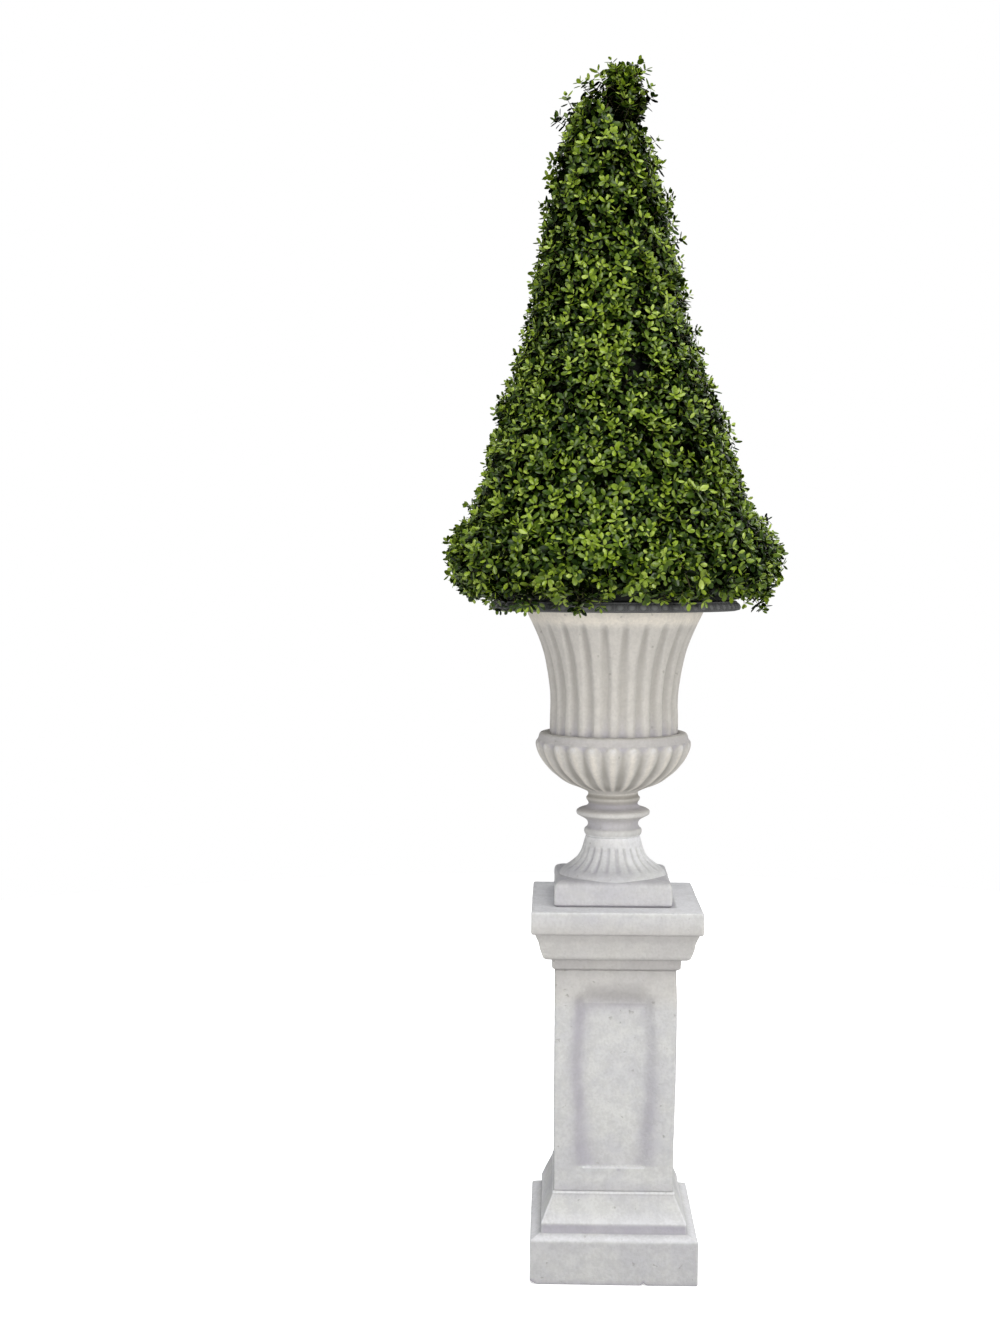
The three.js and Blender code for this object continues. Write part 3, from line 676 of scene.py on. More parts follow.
def bands(lower, upper):
    """The triangles between rows of point numbers and the rows above them, without those that have lost a side."""
    next_lower = np.roll(lower, -1, axis=1)
    next_upper = np.roll(upper, -1, axis=1)
    first = np.stack([lower, next_lower, next_upper], axis=-1).reshape(-1, 3)
    second = np.stack([lower, next_upper, upper], axis=-1).reshape(-1, 3)
    triangles = np.concatenate([first, second])
    a, b, c = triangles.T
    return triangles[(a != b) & (b != c) & (a != c)]


def closed_bands(rows, columns):
    """The triangles of a grid whose first and last rows are closed to two more points, numbered after its own."""
    index = np.arange(rows * columns).reshape(rows, columns)
    lower = np.concatenate([np.full((1, columns), rows * columns), index])
    upper = np.concatenate([index, np.full((1, columns), rows * columns + 1)])
    return bands(lower, upper)


def skin(grid, ring=False):
    """The triangles that join a grid's points. Without ring, the first and last rows are closed to the axis."""
    rows, columns = grid.shape[:2]
    points = grid.reshape(-1, 3)
    if ring:
        index = np.arange(rows * columns).reshape(rows, columns)
        return points, bands(index, np.roll(index, -1, axis=0))
    ends = np.stack([grid[0].mean(axis=0), grid[-1].mean(axis=0)])
    return np.concatenate([points, ends]), closed_bands(rows, columns)


def mesh_of(name, points, triangles, marks=None, smooth=True):
    """One object from an array of points and an array of triangles, with a number for each point where marks say."""
    mesh = bpy.data.meshes.new(name)
    mesh.vertices.add(len(points))
    mesh.vertices.foreach_set("co", np.asarray(points, np.float32).ravel())
    mesh.loops.add(triangles.size)
    mesh.loops.foreach_set("vertex_index", np.asarray(triangles, np.int32).ravel())
    mesh.polygons.add(len(triangles))
    mesh.polygons.foreach_set("loop_start", np.arange(0, triangles.size, 3, dtype=np.int32))
    for key, values in (marks or {}).items():
        attribute = mesh.attributes.new(key, "FLOAT", "POINT")
        attribute.data.foreach_set("value", np.asarray(values, np.float32).ravel())
    mesh.update(calc_edges=True)
    mesh.polygons.foreach_set("use_smooth", np.full(len(triangles), smooth))
    return in_scene(name, mesh)


def hand_over(piece, material, slot, *nodes):
    """Gives a piece its finish, and lets it stand for its CAD nodes on the one body."""
    piece.data.materials.append(material)
    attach(piece, "root")
    if nodes:
        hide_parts(*nodes)


def stone_piece(name, grid, hollow, ring=False):
    """A cast piece that stands for the CAD node of the same name, with its hollow values as its wash, painted shade
    and painted light.
    """
    points, triangles = skin(grid + (SHIFTS.get(name, 0.0), 0.0, 0.0), ring)
    marks = np.concatenate([hollow.ravel(), np.zeros(len(points) - hollow.size)])
    made = mesh_of(name + "_cast", points, triangles, {"hollow": np.clip(marks, -1, 1)})
    hand_over(made, stone, "cast_stone", name)


# The pedestal

def square_piece(stops, seed, radius, corner=0.0035, wear_and_highlight=0.30):
    """A square piece's points and washes: its stops rounded and carried round the plan, a little uneven.

    Its upright edges are paler by wear_and_highlight times sin 2t, where t turns round the corner: worn arrises, and
    a painted highlight on them.
    """
    profile = rounded(stops, radius, ROW_STEP)
    turn = square_columns()[3]
    return uneven(squared(profile, corner), 0.0006, seed), profile[:, 2:] - wear_and_highlight * np.sin(2 * turn)


def pedestal_plinth():
    """A low block with a top that falls outwards. Its front foot is chipped: the edge rises there by a bell curve,
    and the chips are painted dark as painted shade.
    """
    grid, wash = square_piece(PLINTH, 11, 0.0030)
    x, y, z = np.moveaxis(grid, -1, 0)
    chips = 0.0045 * np.exp(-((x - 0.0528) / 0.0030) ** 2) + 0.0050 * ramp(-x, 0.137, 0.151)
    chips = chips * (y < -0.135) * ramp(z, 0.014, 0.0)
    grid[..., 2] = z + chips
    # The chips are painted dark as well: painted shade in the notches.
    stone_piece("pedestal_plinth", grid, wash + 250 * chips)


def pedestal_base_mould():
    """A fillet, a long slope and a small bead, carried round the square."""
    stone_piece("pedestal_base_mould", *square_piece(BASE_MOULD, 13, 0.0022, wear_and_highlight=0.6))


def pedestal_shaft():
    """The shaft with a sunk panel in each side: its depth is the product of a ramp across and a ramp up.

    The panel's foot is a sharp ledge with a painted highlight along it, and a small chip painted as a dark spot of
    painted shade. The bevels have a lilac wash, exp(-t^2) across them, where t is the distance from a bevel's middle
    over half its width. On the head's bevel, which faces down, the tint is also painted shade.
    """
    height = np.sort(np.concatenate([np.linspace(SHAFT_FOOT + 0.001, SHAFT_TOP - 0.001, 170),
                                     np.linspace(PANEL_FOOT[0] - 0.003, PANEL_FOOT[1] + 0.003, 15)]))
    wall = np.stack([read(SHAFT_EDGES, height, 1), height], axis=1)
    profile = np.concatenate([[(0.090, SHAFT_FOOT), (wall[0, 0] - 0.001, SHAFT_FOOT)], wall,
                              [(wall[-1, 0] - 0.001, SHAFT_TOP), (0.090, SHAFT_TOP)]])
    _, _, along, turn = square_columns()
    across = along * (profile[:, :1] - SHAFT_CORNER)
    height = profile[:, 1:]
    flat = turn == 0
    places = np.stack(np.broadcast_arrays(across, height, np.zeros((1, 1))), axis=-1)
    soft = 0.0030 * swell(places, 0.13, 17)
    field = read(PANEL_SIDES, height, 1)
    edge = read(PANEL_SIDES, height, 2)
    bevel = np.clip((edge - np.abs(across) - soft) / (edge - field), 0, 1)
    inside_across = 0.5 * bevel + 0.5 * ramp(bevel, 0, 1)
    inside_up = ramp(height, *PANEL_FOOT) * (1 - ramp(height + 0.4 * soft, *PANEL_HEAD))
    inside = inside_across * inside_up * flat
    fine = 0.00045 * swell(places + (0, 0, 3.0), 0.016, 18) * inside
    strength = np.where(across > 0, 0.66 - 0.28 * ramp(height, 0.30, 0.40), 0.80)
    strength = strength * (1 + 0.16 * swell(places, 0.030, 20))
    from_middle = (np.abs(across) + soft - 0.45 * field - 0.55 * edge) / (0.62 * (edge - field))
    side_wash = strength * np.exp(-from_middle ** 2) * stretch(height, *BEVEL_WASH)
    # Painted shade on the panel head's bevel, which faces down, together with the lilac wash.
    head_wash_and_shade = 0.52 * hump(height, 0.486, 0.540) * (1 - ramp(np.abs(across), 0.036, 0.070))
    field_wash = read(FIELD_WASH, height, 1) * ramp(bevel, 0.7, 1.0) * (height > 0.199) * (height < 0.498)
    # A painted highlight along the panel's foot.
    ledge = -0.70 * np.exp(-((height - 0.1988) / 0.0012) ** 2) * (np.abs(across) < 0.056)
    # The chip is a dark spot of painted shade.
    chip = 0.9 * np.exp(-(((across - 0.009) / 0.0030) ** 2 + ((height - 0.1955) / 0.0022) ** 2))
    wash = np.maximum(side_wash, head_wash_and_shade) + field_wash + ledge + chip
    # The upright edges are paler: worn, and with a painted highlight on the arrises.
    wash = wash * flat + read(SHAFT_WASH, height, 1) - 0.15 * np.sin(2 * turn)
    grid = uneven(squared(profile, SHAFT_CORNER, PANEL_DEPTH * inside + fine), 0.0006, 19)
    grid[..., 0] += read(SHAFT_EDGES, grid[..., 2], 2)
    stone_piece("pedestal_shaft", grid, wash)


def pedestal_cornice():
    """An upright fillet, a ledge that rounds into a steep face, and a flare under the cap, round the square."""
    stone_piece("pedestal_cornice", *square_piece(CORNICE, 23, 0.0022))


def pedestal_cap():
    """A plain slab with a small bevel below and crisp upper edges, carried round the square."""
    stone_piece("pedestal_cap", *square_piece(CAP, 29, 0.0016))


# The urn

def lobed_angles(lobes=LOBES, columns=LOBE_COLUMNS):
    """The columns round a lobed piece, and each one's place across its lobe: 0.5 on the lobe, 0 in the groove."""
    share = np.arange(lobes * columns) / (lobes * columns)
    return share * 2 * math.pi + URN_TURN, np.abs((share * lobes) % 1 - 0.5)


def channel(from_groove, floor, edge):
    """Depth share of a soft channel: 1 on its floor, and 0 outside its edge, both as shares of the pitch."""
    return 1 - ramp(from_groove, floor, edge)


def wobbled(from_groove, height, amount, seed):
    """The same places across the lobes, moved a little to and fro up the piece, as in a worn hand-made mould."""
    columns = np.arange(len(from_groove)) // LOBE_COLUMNS
    places = np.stack(np.broadcast_arrays(columns[None] * 0.37, height, np.zeros((1, 1))), axis=-1)
    return np.abs(from_groove[None] + amount * swell(places, 0.11, seed))


def urn_block():
    """A small square block over a narrow groove that is painted dark as painted shade, with soft corners and a
    pillowed top, carried round the square.
    """
    stone_piece("urn_block", *square_piece(BLOCK, 31, 0.0036, corner=0.0048))


def urn_foot():
    """A hollow sweep that spreads onto the block, with soft flutes that end under a plain collar."""
    sweep = curve_through([(0.0985, 0.7150), (0.0978, 0.7192), (0.0950, 0.7240), (0.0893, 0.7290), (0.0812, 0.7345),
                           (0.0728, 0.7410), (0.0660, 0.7475), (0.0612, 0.7545), (0.0577, 0.7615), (0.0552, 0.7690),
                           (0.0530, 0.7770), (0.0512, 0.7830), (0.0497, KNOP_FOOT)], 0.0015)
    profile = np.concatenate([[(0.080, 0.7150)], sweep, [(0.040, KNOP_FOOT)]])
    angles, from_groove = lobed_angles()
    height = profile[:, 1:]
    cut = stretch(height, *FOOT_FLUTES) * channel(wobbled(from_groove, height, 0.03, 36), 0.02, 0.30)
    # Painted shade where the foot's lower edge meets the block, together with the lilac wash.
    spread = 0.50 * ramp(height, 0.748, 0.7250) * (1 - 0.5 * ramp(height, 0.7215, 0.7175))
    # Painted shade on the foot's left side and painted light on its right side.
    left = 0.5 - 0.5 * ramp(np.sin(angles), -0.9, 0.6)
    right = ramp(np.sin(angles), 0.1, 0.8)
    collar = hollows(profile, 0.014)[:, None] * (height > 0.76)
    shade = 0.66 * cut + spread + 0.30 * left - 0.32 - 0.34 * right + 0.30 * collar
    shape = turned(profile, angles, FOOT_FLUTE_DEPTH * cut)
    stone_piece("urn_foot", uneven(shape, 0.0003, 37), shade)


def urn_knop():
    """A bead, a hollow, a sharp wide disc, a hollow and a small bead, turned from one smooth profile."""
    moulding = curve_through([(0.0490, KNOP_FOOT), (0.0516, 0.7915), (0.0533, 0.7965), (0.0522, 0.8010),
                              (0.0490, 0.8038), (0.0468, 0.8075), (0.0465, 0.8120), (0.0485, 0.8165),
                              (0.0535, 0.8208), (0.0608, 0.8248), (0.0664, 0.8280), (0.0679, 0.8315),
                              (0.0667, 0.8352), (0.0610, 0.8385), (0.0520, 0.8412), (0.0470, 0.8445),
                              (0.0452, 0.8480), (0.0468, 0.8520), (0.0493, 0.8560), (0.0494, 0.8592),
                              (0.0472, 0.8618), (0.0460, 0.8650), (0.0462, BOWL_FOOT + 0.001)], 0.0011)
    profile = np.concatenate([[(0.040, KNOP_FOOT)], moulding, [(0.040, BOWL_FOOT + 0.001)]])
    height = profile[:, 1:]
    ground = 0.26 + 0.20 * ramp(height, 0.833, 0.842) + 0.35 * ramp(height, 0.846, 0.854)
    shade = (0.85 * hollows(profile, 0.007)[:, None] + ground) * np.ones((1, KNOP_COLUMNS))
    shape = turned(profile, full_turn(KNOP_COLUMNS))
    stone_piece("urn_knop", uneven(shape, 0.0003, 41), shade)


def urn_bowl():
    """Gadroons that swell from the knop and end in round heads under a plain rolled lip; hollow inside.

    A gadroon's half width is a share of the pitch. It narrows downwards, and in the head it is the ellipse
    w sqrt(1 - t^2), where t goes from 0 at the head's foot to 1 at its top. Outside it the wall is cut back.
    """
    belly = curve_through([(0.0462, BOWL_FOOT), (0.0500, 0.8720), (0.0630, 0.8780), (0.0790, 0.8840),
                           (0.0930, 0.8912), (0.1052, 0.9005), (0.1155, 0.9090), (0.1230, 0.9170),
                           (0.1300, 0.9262), (0.1363, 0.9370), (0.1405, 0.9470), (0.1428, 0.9565),
                           (0.1420, 0.9628), (0.1388, 0.9672), (0.1374, 0.9708), (0.1364, 0.9750),
                           (0.1335, 0.9788), (0.1262, 0.9802)], 0.0016)
    inner = rounded([(0.1262, 0.9802), (0.1216, 0.9798), (0.1203, BELL_SEAT), (0.103, BELL_SEAT), (0.092, 0.915),
                     (0.062, 0.893)], 0.0015, 0.004)
    profile = np.concatenate([[(0.030, BOWL_FOOT)], belly, inner[1:]])
    angles, from_groove = lobed_angles()
    outer = (np.arange(len(profile)) <= len(belly))[:, None]
    height = profile[:, 1:]
    radius = profile[:, :1]
    across = wobbled(from_groove, height, 0.03, 42)
    head = np.clip((height - 0.9475) / 0.0165, 0, 1)
    lobe = (0.415 - 0.225 * ramp(height, 0.955, 0.886)) * np.sqrt(1 - head ** 2)
    inside = outer * stretch(height, *GADROONS)
    gap = inside * ramp(across, 0.5 - lobe + 0.10, 0.5 - lobe - 0.17)
    round_lobe = inside * (1 - gap) * (1 - 2 * np.clip(across, 0, 0.5)) ** 2
    share = 0.64 * gap + 0.80 * round_lobe
    depth = GADROON_DEPTH * np.clip(radius / 0.130, 0.32, 1.0)
    lip = 0.30 * stretch(height, *BOWL_LIP) * outer
    # The gadroons' ridges are painted pale as a painted highlight. The dark in the gaps is the grey brown wash and
    # painted shade.
    shade = 0.66 * gap + 0.10 * inside + lip - 0.62 * (inside - gap) * ramp(across, 0.18, 0.50)
    shape = turned(profile, angles, depth * share)
    stone_piece("urn_bowl", uneven(shape, 0.0005, 43), shade)


def urn_bell():
    """Broad ribs with narrower grooves that run up the bell's wall and come to points below its plain mouth."""
    wall = curve_through([(0.1182, BELL_SEAT), (0.1180, 1.000), (0.1172, 1.030), (0.1178, 1.052), (0.1203, 1.074),
                          (0.1240, 1.097), (0.1287, 1.120), (0.1343, 1.139), (0.1419, 1.159), (0.1517, 1.1805),
                          (0.1572, 1.192), (0.1628, BELL_TOP)], 0.0024)
    inner = even_steps([(0.156, BELL_TOP), (0.138, 1.178), (0.120, 1.134), (0.103, 1.050), (0.103, BELL_SEAT)], 0.012)
    profile = np.concatenate([wall, inner])
    angles, from_groove = lobed_angles()
    height = profile[:, 1:]
    outer = (np.arange(len(profile)) < len(wall))[:, None]
    across = wobbled(from_groove, height, 0.035, 46)
    edge = 0.41 - 0.19 * ramp(height, 1.085, 1.178)
    fade = 1 - ramp(height + 0.020 * across, 1.168, 1.192)
    share = outer * fade * channel(across, 0.05, edge)
    foot_wash = 0.34 * ramp(height, 1.000, 0.979)
    # A pale band under the mouth: partly its paint, and partly painted light where the rim and the skirt shade it.
    pale_lit_band = -1.0 * ramp(height, 1.170, 1.192)
    shade = (0.36 + 0.06 * ramp(height, 1.02, 1.10)) * share + outer * (foot_wash + pale_lit_band - 0.10 * (1 - share))
    grid = uneven(turned(profile, angles, BELL_FLUTE_DEPTH * share), 0.0005, 47)
    grid[..., 0] += 0.0012 * ramp(grid[..., 2], 1.0, BELL_TOP)
    stone_piece("urn_bell", grid, shade, ring=True)


def urn_rim():
    """The dark lip with egg and dart round its sloping edge.

    An egg is half an ellipsoid, sqrt(1 - a^2 - b^2), across and up the edge, and a dart is a narrow ridge between.
    """
    under = even_steps([(RIM_INNER, BELL_TOP), (0.2215, BELL_TOP)], 0.006)
    edge = rounded([(0.2215, BELL_TOP), (0.2295, 1.2062), (RIM_RADIUS, 1.2095), (0.2280, 1.2165), (0.2215, RIM_TOP)],
                   0.002, 0.0007)
    over = even_steps([(0.2215, RIM_TOP), (RIM_INNER, RIM_TOP)], 0.006)
    profile = np.concatenate([under[:-1], edge, over[1:]])
    angles, across = lobed_angles(EGGS, EGG_COLUMNS)
    height = profile[:, 1:]
    rows = np.arange(len(profile))[:, None]
    on_edge = (rows >= len(under) - 1) & (rows < len(under) - 1 + len(edge))
    up = (height - 1.2135) / 0.0062
    egg = np.sqrt(np.clip(1 - (across / 0.33) ** 2 - up ** 2, 0, 1))
    shell = np.exp(-(((np.sqrt((across / 0.33) ** 2 + up ** 2) - 1.22) / 0.12) ** 2)) * (np.abs(up) < 1.15)
    dart = np.clip(1 - (0.5 - across) / 0.09, 0, 1) * (np.abs(up) < 1.0)
    relief = on_edge * np.maximum(np.maximum(egg, 0.55 * shell), 0.6 * dart)
    ground = on_edge * stretch(height, *RIM_ORNAMENT)
    grid = turned(profile, angles, RIM_DEPTH * ground * (1 - relief))
    # Painted shade in the ground between the ornament, and a painted highlight on its raised parts.
    marks = {"hollow": ground * (1 - 1.8 * relief) * 0.8}
    hand_over(mesh_of("urn_rim_cast", *skin(grid, ring=True), marks), slate, "slate_rim", "urn_rim")


# The plant

def lean_at(height):
    """Sideways shift of the plant's middle at a height: it leans steadily, and its tip comes back."""
    share = np.clip((height - LEAN_FOOT) / (LEAN_TOP - LEAN_FOOT), 0, 1)
    return LEAN * share + LEAN_BACK * ramp(height, TIP_FOOT, TIP_SET)


def leaning(points, way=1):
    """Shifts points by the lean at their heights, or takes the lean away again where way is -1."""
    moved = np.array(points)
    moved[..., 0] += way * lean_at(moved[..., 2])
    return moved


def outline_radius(height):
    """Radius of the clipped surface at a height, from the skirt's underside up."""
    return np.interp(height, outline[:, 1], outline[:, 0])


def stem_and_boughs():
    """The stem with bark's ridges, and boughs that leave it by the golden angle and rise out to the mat.

    The stem is P(u, v) = (r(v)(1 + ridges)) round the leaning middle. A bough's middle line is the parabola from the
    stem to the mat's inner side, and it carries a tapering ring of five points.
    """
    radii = np.array(STEM_RADII)
    height = np.linspace(radii[0, 1], radii[-1, 1], 240)
    radius = np.interp(height, radii[:, 1], radii[:, 0])
    angles = full_turn(STEM_COLUMNS)
    grid = turned(np.stack([radius, height], axis=1), angles)
    ridges = 1 + 0.07 * np.sin(7 * angles + 9 * height[:, None]) + 0.05 * swell(grid * (1, 1, 0.2), 0.012, 53)
    grid = leaning(grid * np.stack([ridges, ridges, np.ones_like(ridges)], axis=-1))
    hand_over(mesh_of("stem_bark", *skin(grid)), bark, "stem", "stem")

    random = np.random.default_rng(SEED + 1)
    number = np.arange(BOUGHS)
    azimuth = number * GOLDEN_ANGLE
    start_height = 1.240 + (STEM_TOP - 1.250) * (number + 0.5) / BOUGHS
    end_height = start_height + random.uniform(0.02, 0.06, BOUGHS)
    reach = np.maximum(outline_radius(end_height) - 0.026, 0.018)
    start = UP * start_height[:, None]
    end = bearings(azimuth) * reach[:, None] + UP * end_height[:, None]
    t = np.linspace(0, 1, 7)
    middle = start[:, None] + (end - start)[:, None] * t[:, None]
    middle[..., 2] -= (0.10 * reach)[:, None] * hump(t, 0, 1)
    thick = BOUGH_RADII[0] * (1 - t) + BOUGH_RADII[1] * t
    side = np.stack([np.cos(azimuth), np.sin(azimuth), 0 * azimuth], axis=1)
    tubes = leaning(tubes_along(middle, side, np.tile(UP, (BOUGHS, 1)), thick, 5))
    hand_over(mesh_of("boughs", *many_tubes(tubes)), bark, "stem", *FOLIAGE)


def tubes_along(middle, side, other, thick, columns):
    """Rings of so many points round each point of each middle line: M + r (cos a S + sin a O)."""
    ring = full_turn(columns)[:, None]
    around = np.cos(ring) * side[:, None] + np.sin(ring) * other[:, None]
    return middle[:, :, None] + thick[:, None, None] * around[:, None]


def many_tubes(tubes):
    """Joins an array of tubes, each rows of rings, into one skin, with both ends of every tube closed by a fan."""
    count, rows, columns = tubes.shape[:3]
    first_end = tubes[:, :1].mean(axis=2, keepdims=True)
    last_end = tubes[:, -1:].mean(axis=2, keepdims=True)
    points = np.concatenate([tubes.reshape(count, -1, 3), first_end[:, 0], last_end[:, 0]], axis=1)
    triangles = closed_bands(rows, columns)[None] + (np.arange(count) * points.shape[1])[:, None, None]
    return points.reshape(-1, 3), triangles.reshape(-1, 3)


def foliage_mat():
    """The mat that the twigs are fixed to, near black as painted shade in the gaps: the outline drawn in, lumpy, and
    closed above the rim.
    """
    height = np.linspace(MAT_FOOT + 0.004, MAT_TOP, 120)
    radius = np.maximum(outline_radius(height) - MAT_INSET, 0.006)
    profile = np.concatenate([[(0.120, MAT_FOOT), (radius[0] - 0.012, MAT_FOOT)], np.stack([radius, height], axis=1)])
    grid = turned(profile, full_turn(MAT_COLUMNS))
    lumps = 1 - ramp(height, 1.9, MAT_TOP)
    move = np.concatenate([[0, 0], 0.3 + 0.7 * lumps])[:, None] * 0.006 * swell(grid, 0.05, 59)
    hand_over(mesh_of("foliage_mat", *skin(leaning(pushed(grid, move)))), mat, "foliage", *FOLIAGE)


def sprig_places():
    """Where the sprigs stand on the clipped surface: evenly up it by equal areas, and round it by the golden angle.

    Each place is shifted a little at random. The narrow tip counts for a little more than its area. It returns the
    places, the outward normals and the random source.
    """
    random = np.random.default_rng(SEED)
    step = np.linalg.norm(np.diff(outline, axis=0), axis=1)
    ring = outline[1:, 0] + outline[:-1, 0] + TIP_SHARE
    areas = np.concatenate([[0.0], np.cumsum(step * ring)])
    number = np.arange(SPRIGS)
    wanted = areas[-1] * (number + random.uniform(0, 1, SPRIGS)) / SPRIGS
    rows = np.arange(len(outline))
    at = np.interp(wanted, areas, rows)
    radius, height = [np.interp(at, rows, column) for column in outline.T]
    along = unit(np.stack([np.interp(at, rows, column) for column in np.gradient(outline, axis=0).T], axis=1))
    azimuth = number * GOLDEN_ANGLE + random.normal(0, 0.35, SPRIGS) * SPRIG_SPACING / np.maximum(radius, 0.02)
    bearing = bearings(azimuth)
    out = bearing * along[:, 1:] - UP * along[:, :1]
    return bearing * radius[:, None] + UP * height[:, None], unit(out), random


def sprigs():
    """Every sprig's tip, direction, length, size and how far it stands out. They rise on the cone and hang below."""
    place, out, random = sprig_places()
    height = place[:, 2]
    top = ramp(height, 1.90, 2.12)
    underside = ramp(height, 1.242, 1.206)
    rise = np.clip((height - SKIRT_LEVEL) / 0.060, -0.5, 0.40)
    loose = random.normal(0, 1, (SPRIGS, 3)) * (0.24 + 0.14 * top)[:, None]
    direction = unit(out + UP * rise[:, None] + loose)
    lumps = 0.0065 * swell(place, 0.085, 61) + 0.0050 * swell(place, 0.038, 62)
    ragged = random.normal(0, 1, SPRIGS) * (0.0062 + 0.0030 * top)
    standing = lumps + ragged
    tip = leaning(place + out * (standing - 0.0150 - 0.003 * top)[:, None] + UP * (0.009 * underside)[:, None])
    length = TWIG_LENGTH * random.uniform(0.85, 1.15, SPRIGS) * (1 - 0.4 * underside)
    large = 1 + 0.16 * (1 - ramp(height, 1.33, 1.60)) + 0.14 * top
    size = random.uniform(0.86, 1.14, SPRIGS) * large

    hollow = np.array(HOLLOWS)
    deep = (np.linalg.norm(tip[:, None] - hollow[:, :3], axis=-1) < hollow[:, 3]).any(axis=1)
    thin = 0.72 - 0.24 * ramp(place[:, 0], -0.10, 0.10)
    bare = underside * (random.uniform(0, 1, SPRIGS) + 0.25 * swell(place, 0.10, 63)) > thin
    kept = ~deep & ~bare & (random.uniform(0, 1, SPRIGS) > 0.22 * top)

    stray = np.array(STRAYS)
    away = unit(leaning(stray, -1) * (1, 1, 0))
    rises = read(STRAY_RISES, stray[:, 2], 1)
    stray_way = unit(away + UP * rises[:, None] + random.normal(0, 0.18, stray.shape))
    count = len(stray)
    more = (stray - stray_way * STRAY_OUT, stray_way, np.full(count, STRAY_LENGTH), random.uniform(1.0, 1.15, count),
            np.full(count, STRAY_OUT))
    clipped = (tip, direction, length, size, standing)
    return *(np.concatenate([values[kept], others]) for values, others in zip(clipped, more)), random


def side_of(direction):
    """A level direction square to each given direction."""
    return unit(np.cross(UP, direction) + np.array([1e-6, 0.0, 0.0]))


def twigs(tip, direction, length):
    """Three-sided twigs that taper from under the leaves to the sprig's tip, bowed a little sideways."""
    side = side_of(direction)
    other = np.cross(direction, side)
    t = np.array([1.0, 0.5, 0.0])
    middle = tip[:, None] - direction[:, None] * (length[:, None] * t)[..., None]
    middle = middle + other[:, None] * (0.06 * length[:, None] * hump(t, 0, 1))[..., None]
    return many_tubes(tubes_along(middle, side, other, TWIG_RADIUS * (0.45 + 0.9 * t), 3))


def leaf_shape():
    """One leaf of ten faces in its own frame, as across, along and up, with its length as 1.

    It is narrow at its foot, widest past its middle and round at its end. Its halves fall away from the midrib by
    the fold, and the whole bends back by the square of the distance along.
    """
    rib = np.array([0.0, 0.36, 0.74, 1.0])
    edge_along = np.array([0.22, 0.57, 0.88])
    edge_out = np.array([0.35, 0.50, 0.30]) * LEAF_WIDTH
    along = np.concatenate([rib, edge_along, edge_along])
    across = np.concatenate([0 * rib, edge_out, -edge_out])
    up = LEAF_FOLD * np.abs(across) + LEAF_BEND * along ** 2
    right = np.array([(0, 4, 1), (1, 4, 5), (1, 5, 2), (2, 5, 6), (2, 6, 3)])
    left = np.where(right > 3, right + 3, right)[:, ::-1]
    return np.stack([across, along, up], axis=1), np.concatenate([right, left])


def leaves(tip, direction, size, random):
    """Every leaf's points, as an array of sprigs by leaves, with the leaf's faces and each leaf's pair.

    A leaf runs along d = cos s t + sin s e, where t is the twig's direction, e the way out from it and s the leaf's
    lean, and its upper face looks along the twig.
    """
    shape, faces = leaf_shape()
    count = len(tip)
    side = side_of(direction)
    other = np.cross(direction, side)
    turn = random.uniform(0, 2 * math.pi, count)
    made = []
    for pair, (below, lean, leaf_length) in enumerate(PAIRS):
        for half in (0, 1):
            around = turn + pair * math.pi / 2 + half * math.pi + random.normal(0, 0.22, count)
            away = side * np.cos(around)[:, None] + other * np.sin(around)[:, None]
            s = np.radians(lean + random.normal(0, 10, count))[:, None]
            along = np.cos(s) * direction + np.sin(s) * away
            up = np.sin(s) * direction - np.cos(s) * away
            across = np.cross(along, up)
            roll = random.normal(0, 0.26, count)[:, None]
            across, up = across * np.cos(roll) + up * np.sin(roll), up * np.cos(roll) - across * np.sin(roll)
            foot = tip - direction * (below + random.uniform(-0.0015, 0.0015, count))[:, None] + away * 0.0008
            scale = (leaf_length * size * random.uniform(0.82, 1.15, count))[:, None, None]
            local = np.stack([across, along, up], axis=1)
            made.append(foot[:, None] + scale * (shape @ local))
    return np.stack(made, axis=1), faces, np.repeat(np.arange(len(PAIRS)), 2)


def in_place(points):
    """True for each leaf that keeps clear of the rim and of what is under it."""
    radius = np.linalg.norm(leaning(points, -1)[..., :2], axis=-1)
    height = points[..., 2]
    near_rim = (radius < RIM_RADIUS + 0.0025) & (height < RIM_TOP + 0.0015)
    return ~near_rim.any(axis=-1) & (height.max(axis=-1) < CROWN_TOP) & (height.min(axis=-1) > LOWEST_LEAF)


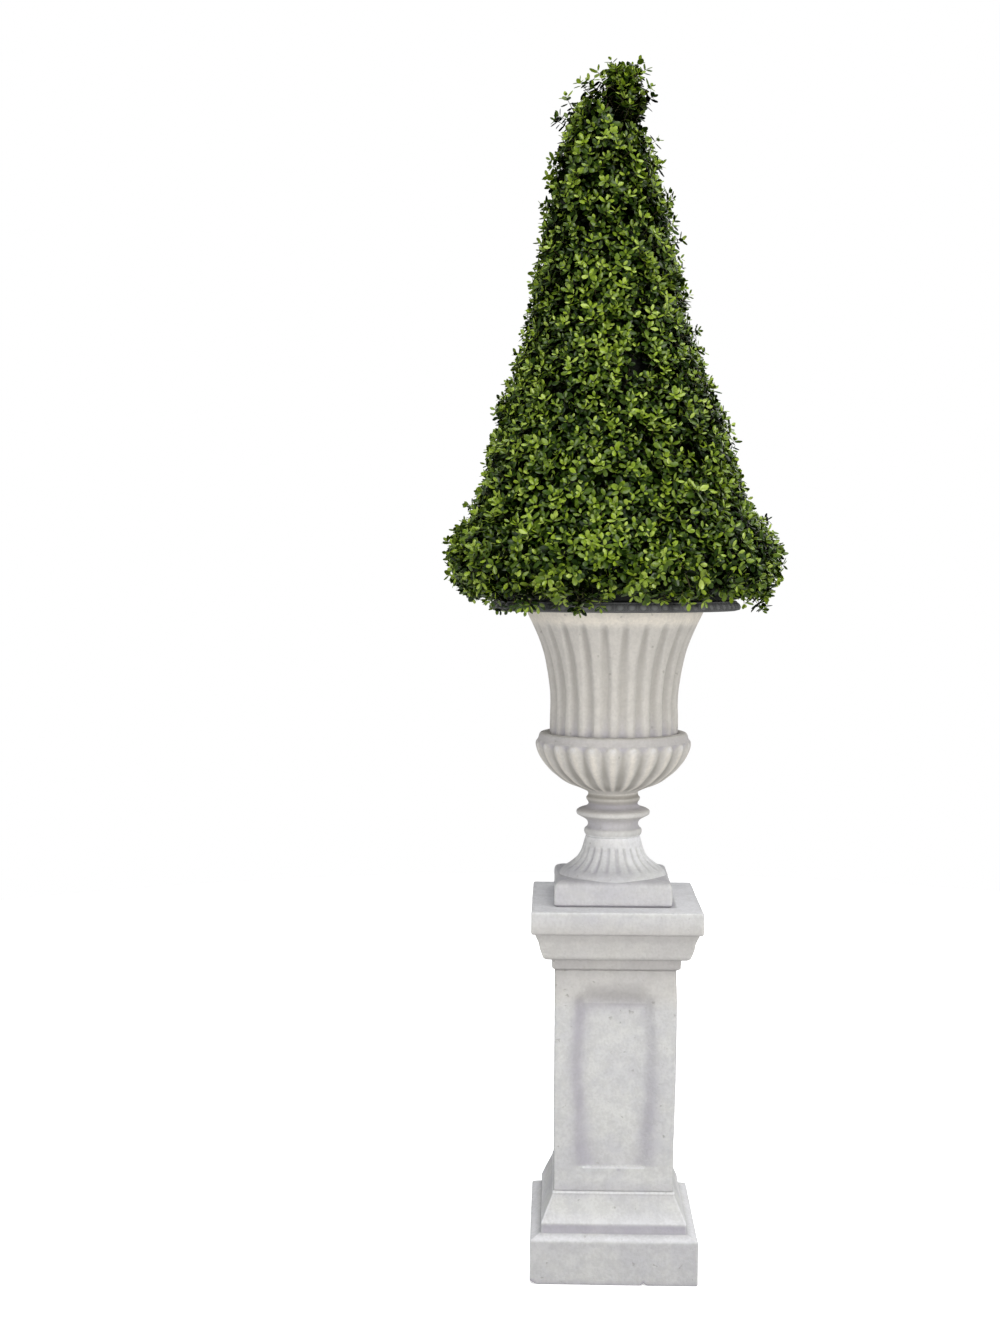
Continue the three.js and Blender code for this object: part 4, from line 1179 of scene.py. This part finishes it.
def plant():
    """Twigs and leaves. Leaves are dealt out to greens by spray, by place and by age, with painted shade for deeper
    sprigs and the upper left, and joined by mass.
    """
    tip, direction, length, size, standing, random = sprigs()
    hand_over(mesh_of("twigs", *twigs(tip, direction, length)), twig, "stem", *FOLIAGE)

    leaf_points, faces, pairs = leaves(tip, direction, size, random)
    kept = in_place(leaf_points)
    height = tip[:, 2]
    # Painted shade: sprigs that lie deeper, and those high on the left, away from the light, get darker greens. The
    # skirt and the right side are a little darker too, and the tip lighter.
    painted_shade_upper_left = ramp(-tip[:, 0], -0.02, 0.14) * ramp(height, 1.62, 1.95)
    skirt = 1 - ramp(height, 1.30, 1.48)
    spray = (0.40 + 0.09 * swell(tip, 0.16, 71) + 0.10 * swell(tip, 0.05, 72) + random.normal(0, 0.17, len(tip))
             + 0.02 * painted_shade_upper_left + 0.05 * skirt + 0.05 * ramp(tip[:, 0], 0.02, 0.16)
             - 0.14 * ramp(height, 2.10, 2.18) - 17.0 * standing)
    age_and_painted_shade = spray[:, None] + PAIR_AGE * (pairs - YOUNG_PAIRS) + random.normal(0, 0.06, (len(tip), len(pairs)))
    tone = np.digitize(age_and_painted_shade, AGE_STEPS)
    for mass, low, high in MASSES:
        in_mass = ((height >= low) & (height < high))[:, None]
        for number, (tone_name, material) in enumerate(greens):
            chosen = leaf_points[kept & in_mass & (tone == number)]
            starts = (np.arange(len(chosen)) * chosen.shape[1])[:, None, None]
            own = np.repeat(random.uniform(0, 1, len(chosen)), chosen.shape[1])
            name = mass.replace("foliage", "leaves") + "_" + tone_name
            made = mesh_of(name, chosen.reshape(-1, 3), (faces[None] + starts).reshape(-1, 3), {"leaf": own})
            hand_over(made, material, "foliage", mass)


def floor():
    """A wide round slab whose top is level with the ground."""
    profile = np.array([(FLOOR_RADIUS, -0.02), (FLOOR_RADIUS, -0.0003)])
    made = mesh_of("floor", *skin(turned(profile, full_turn(64))), smooth=False)
    made.data.materials.append(white_floor())


# The scene

outline = curve_through(OUTLINE, 0.002)

bpy.context.scene.view_settings.view_transform = "Standard"
place_camera()
white_air(AIR_SEEN, AIR_LIGHT)
for light in LIGHTS:
    sun_light(*light)

patches = patches_group()
grain = grain_group()
wash = wash_group()
leaf_green = leaf_group()
stone = cast_stone()
slate = slate_rim()
bark = plain_rough("bark", (66, 56, 40), (44, 37, 27), 60.0, 500.0, 0.001)
twig = plain_rough("twig", (74, 72, 36), (54, 46, 30), 90.0, 900.0, 0.0004)
# The mat is near black: painted shade in the deep gaps between the sprigs.
mat = plain_rough("mat", (5, 9, 2), (2, 5, 1), 45.0, 160.0, 0.006)
filling = plain_rough("filling", (42, 38, 34), (30, 27, 23), 40.0, 300.0, 0.002)
greens = [(name, boxwood_leaf(name, *look)) for name, *look in GREENS]

pedestal_plinth()
pedestal_base_mould()
pedestal_shaft()
pedestal_cornice()
pedestal_cap()
urn_block()
urn_foot()
urn_knop()
urn_bowl()
urn_bell()
urn_rim()
urn_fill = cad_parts["urn_fill"].data.materials
urn_fill.clear()
urn_fill.append(filling)
stem_and_boughs()
foliage_mat()
plant()
floor()
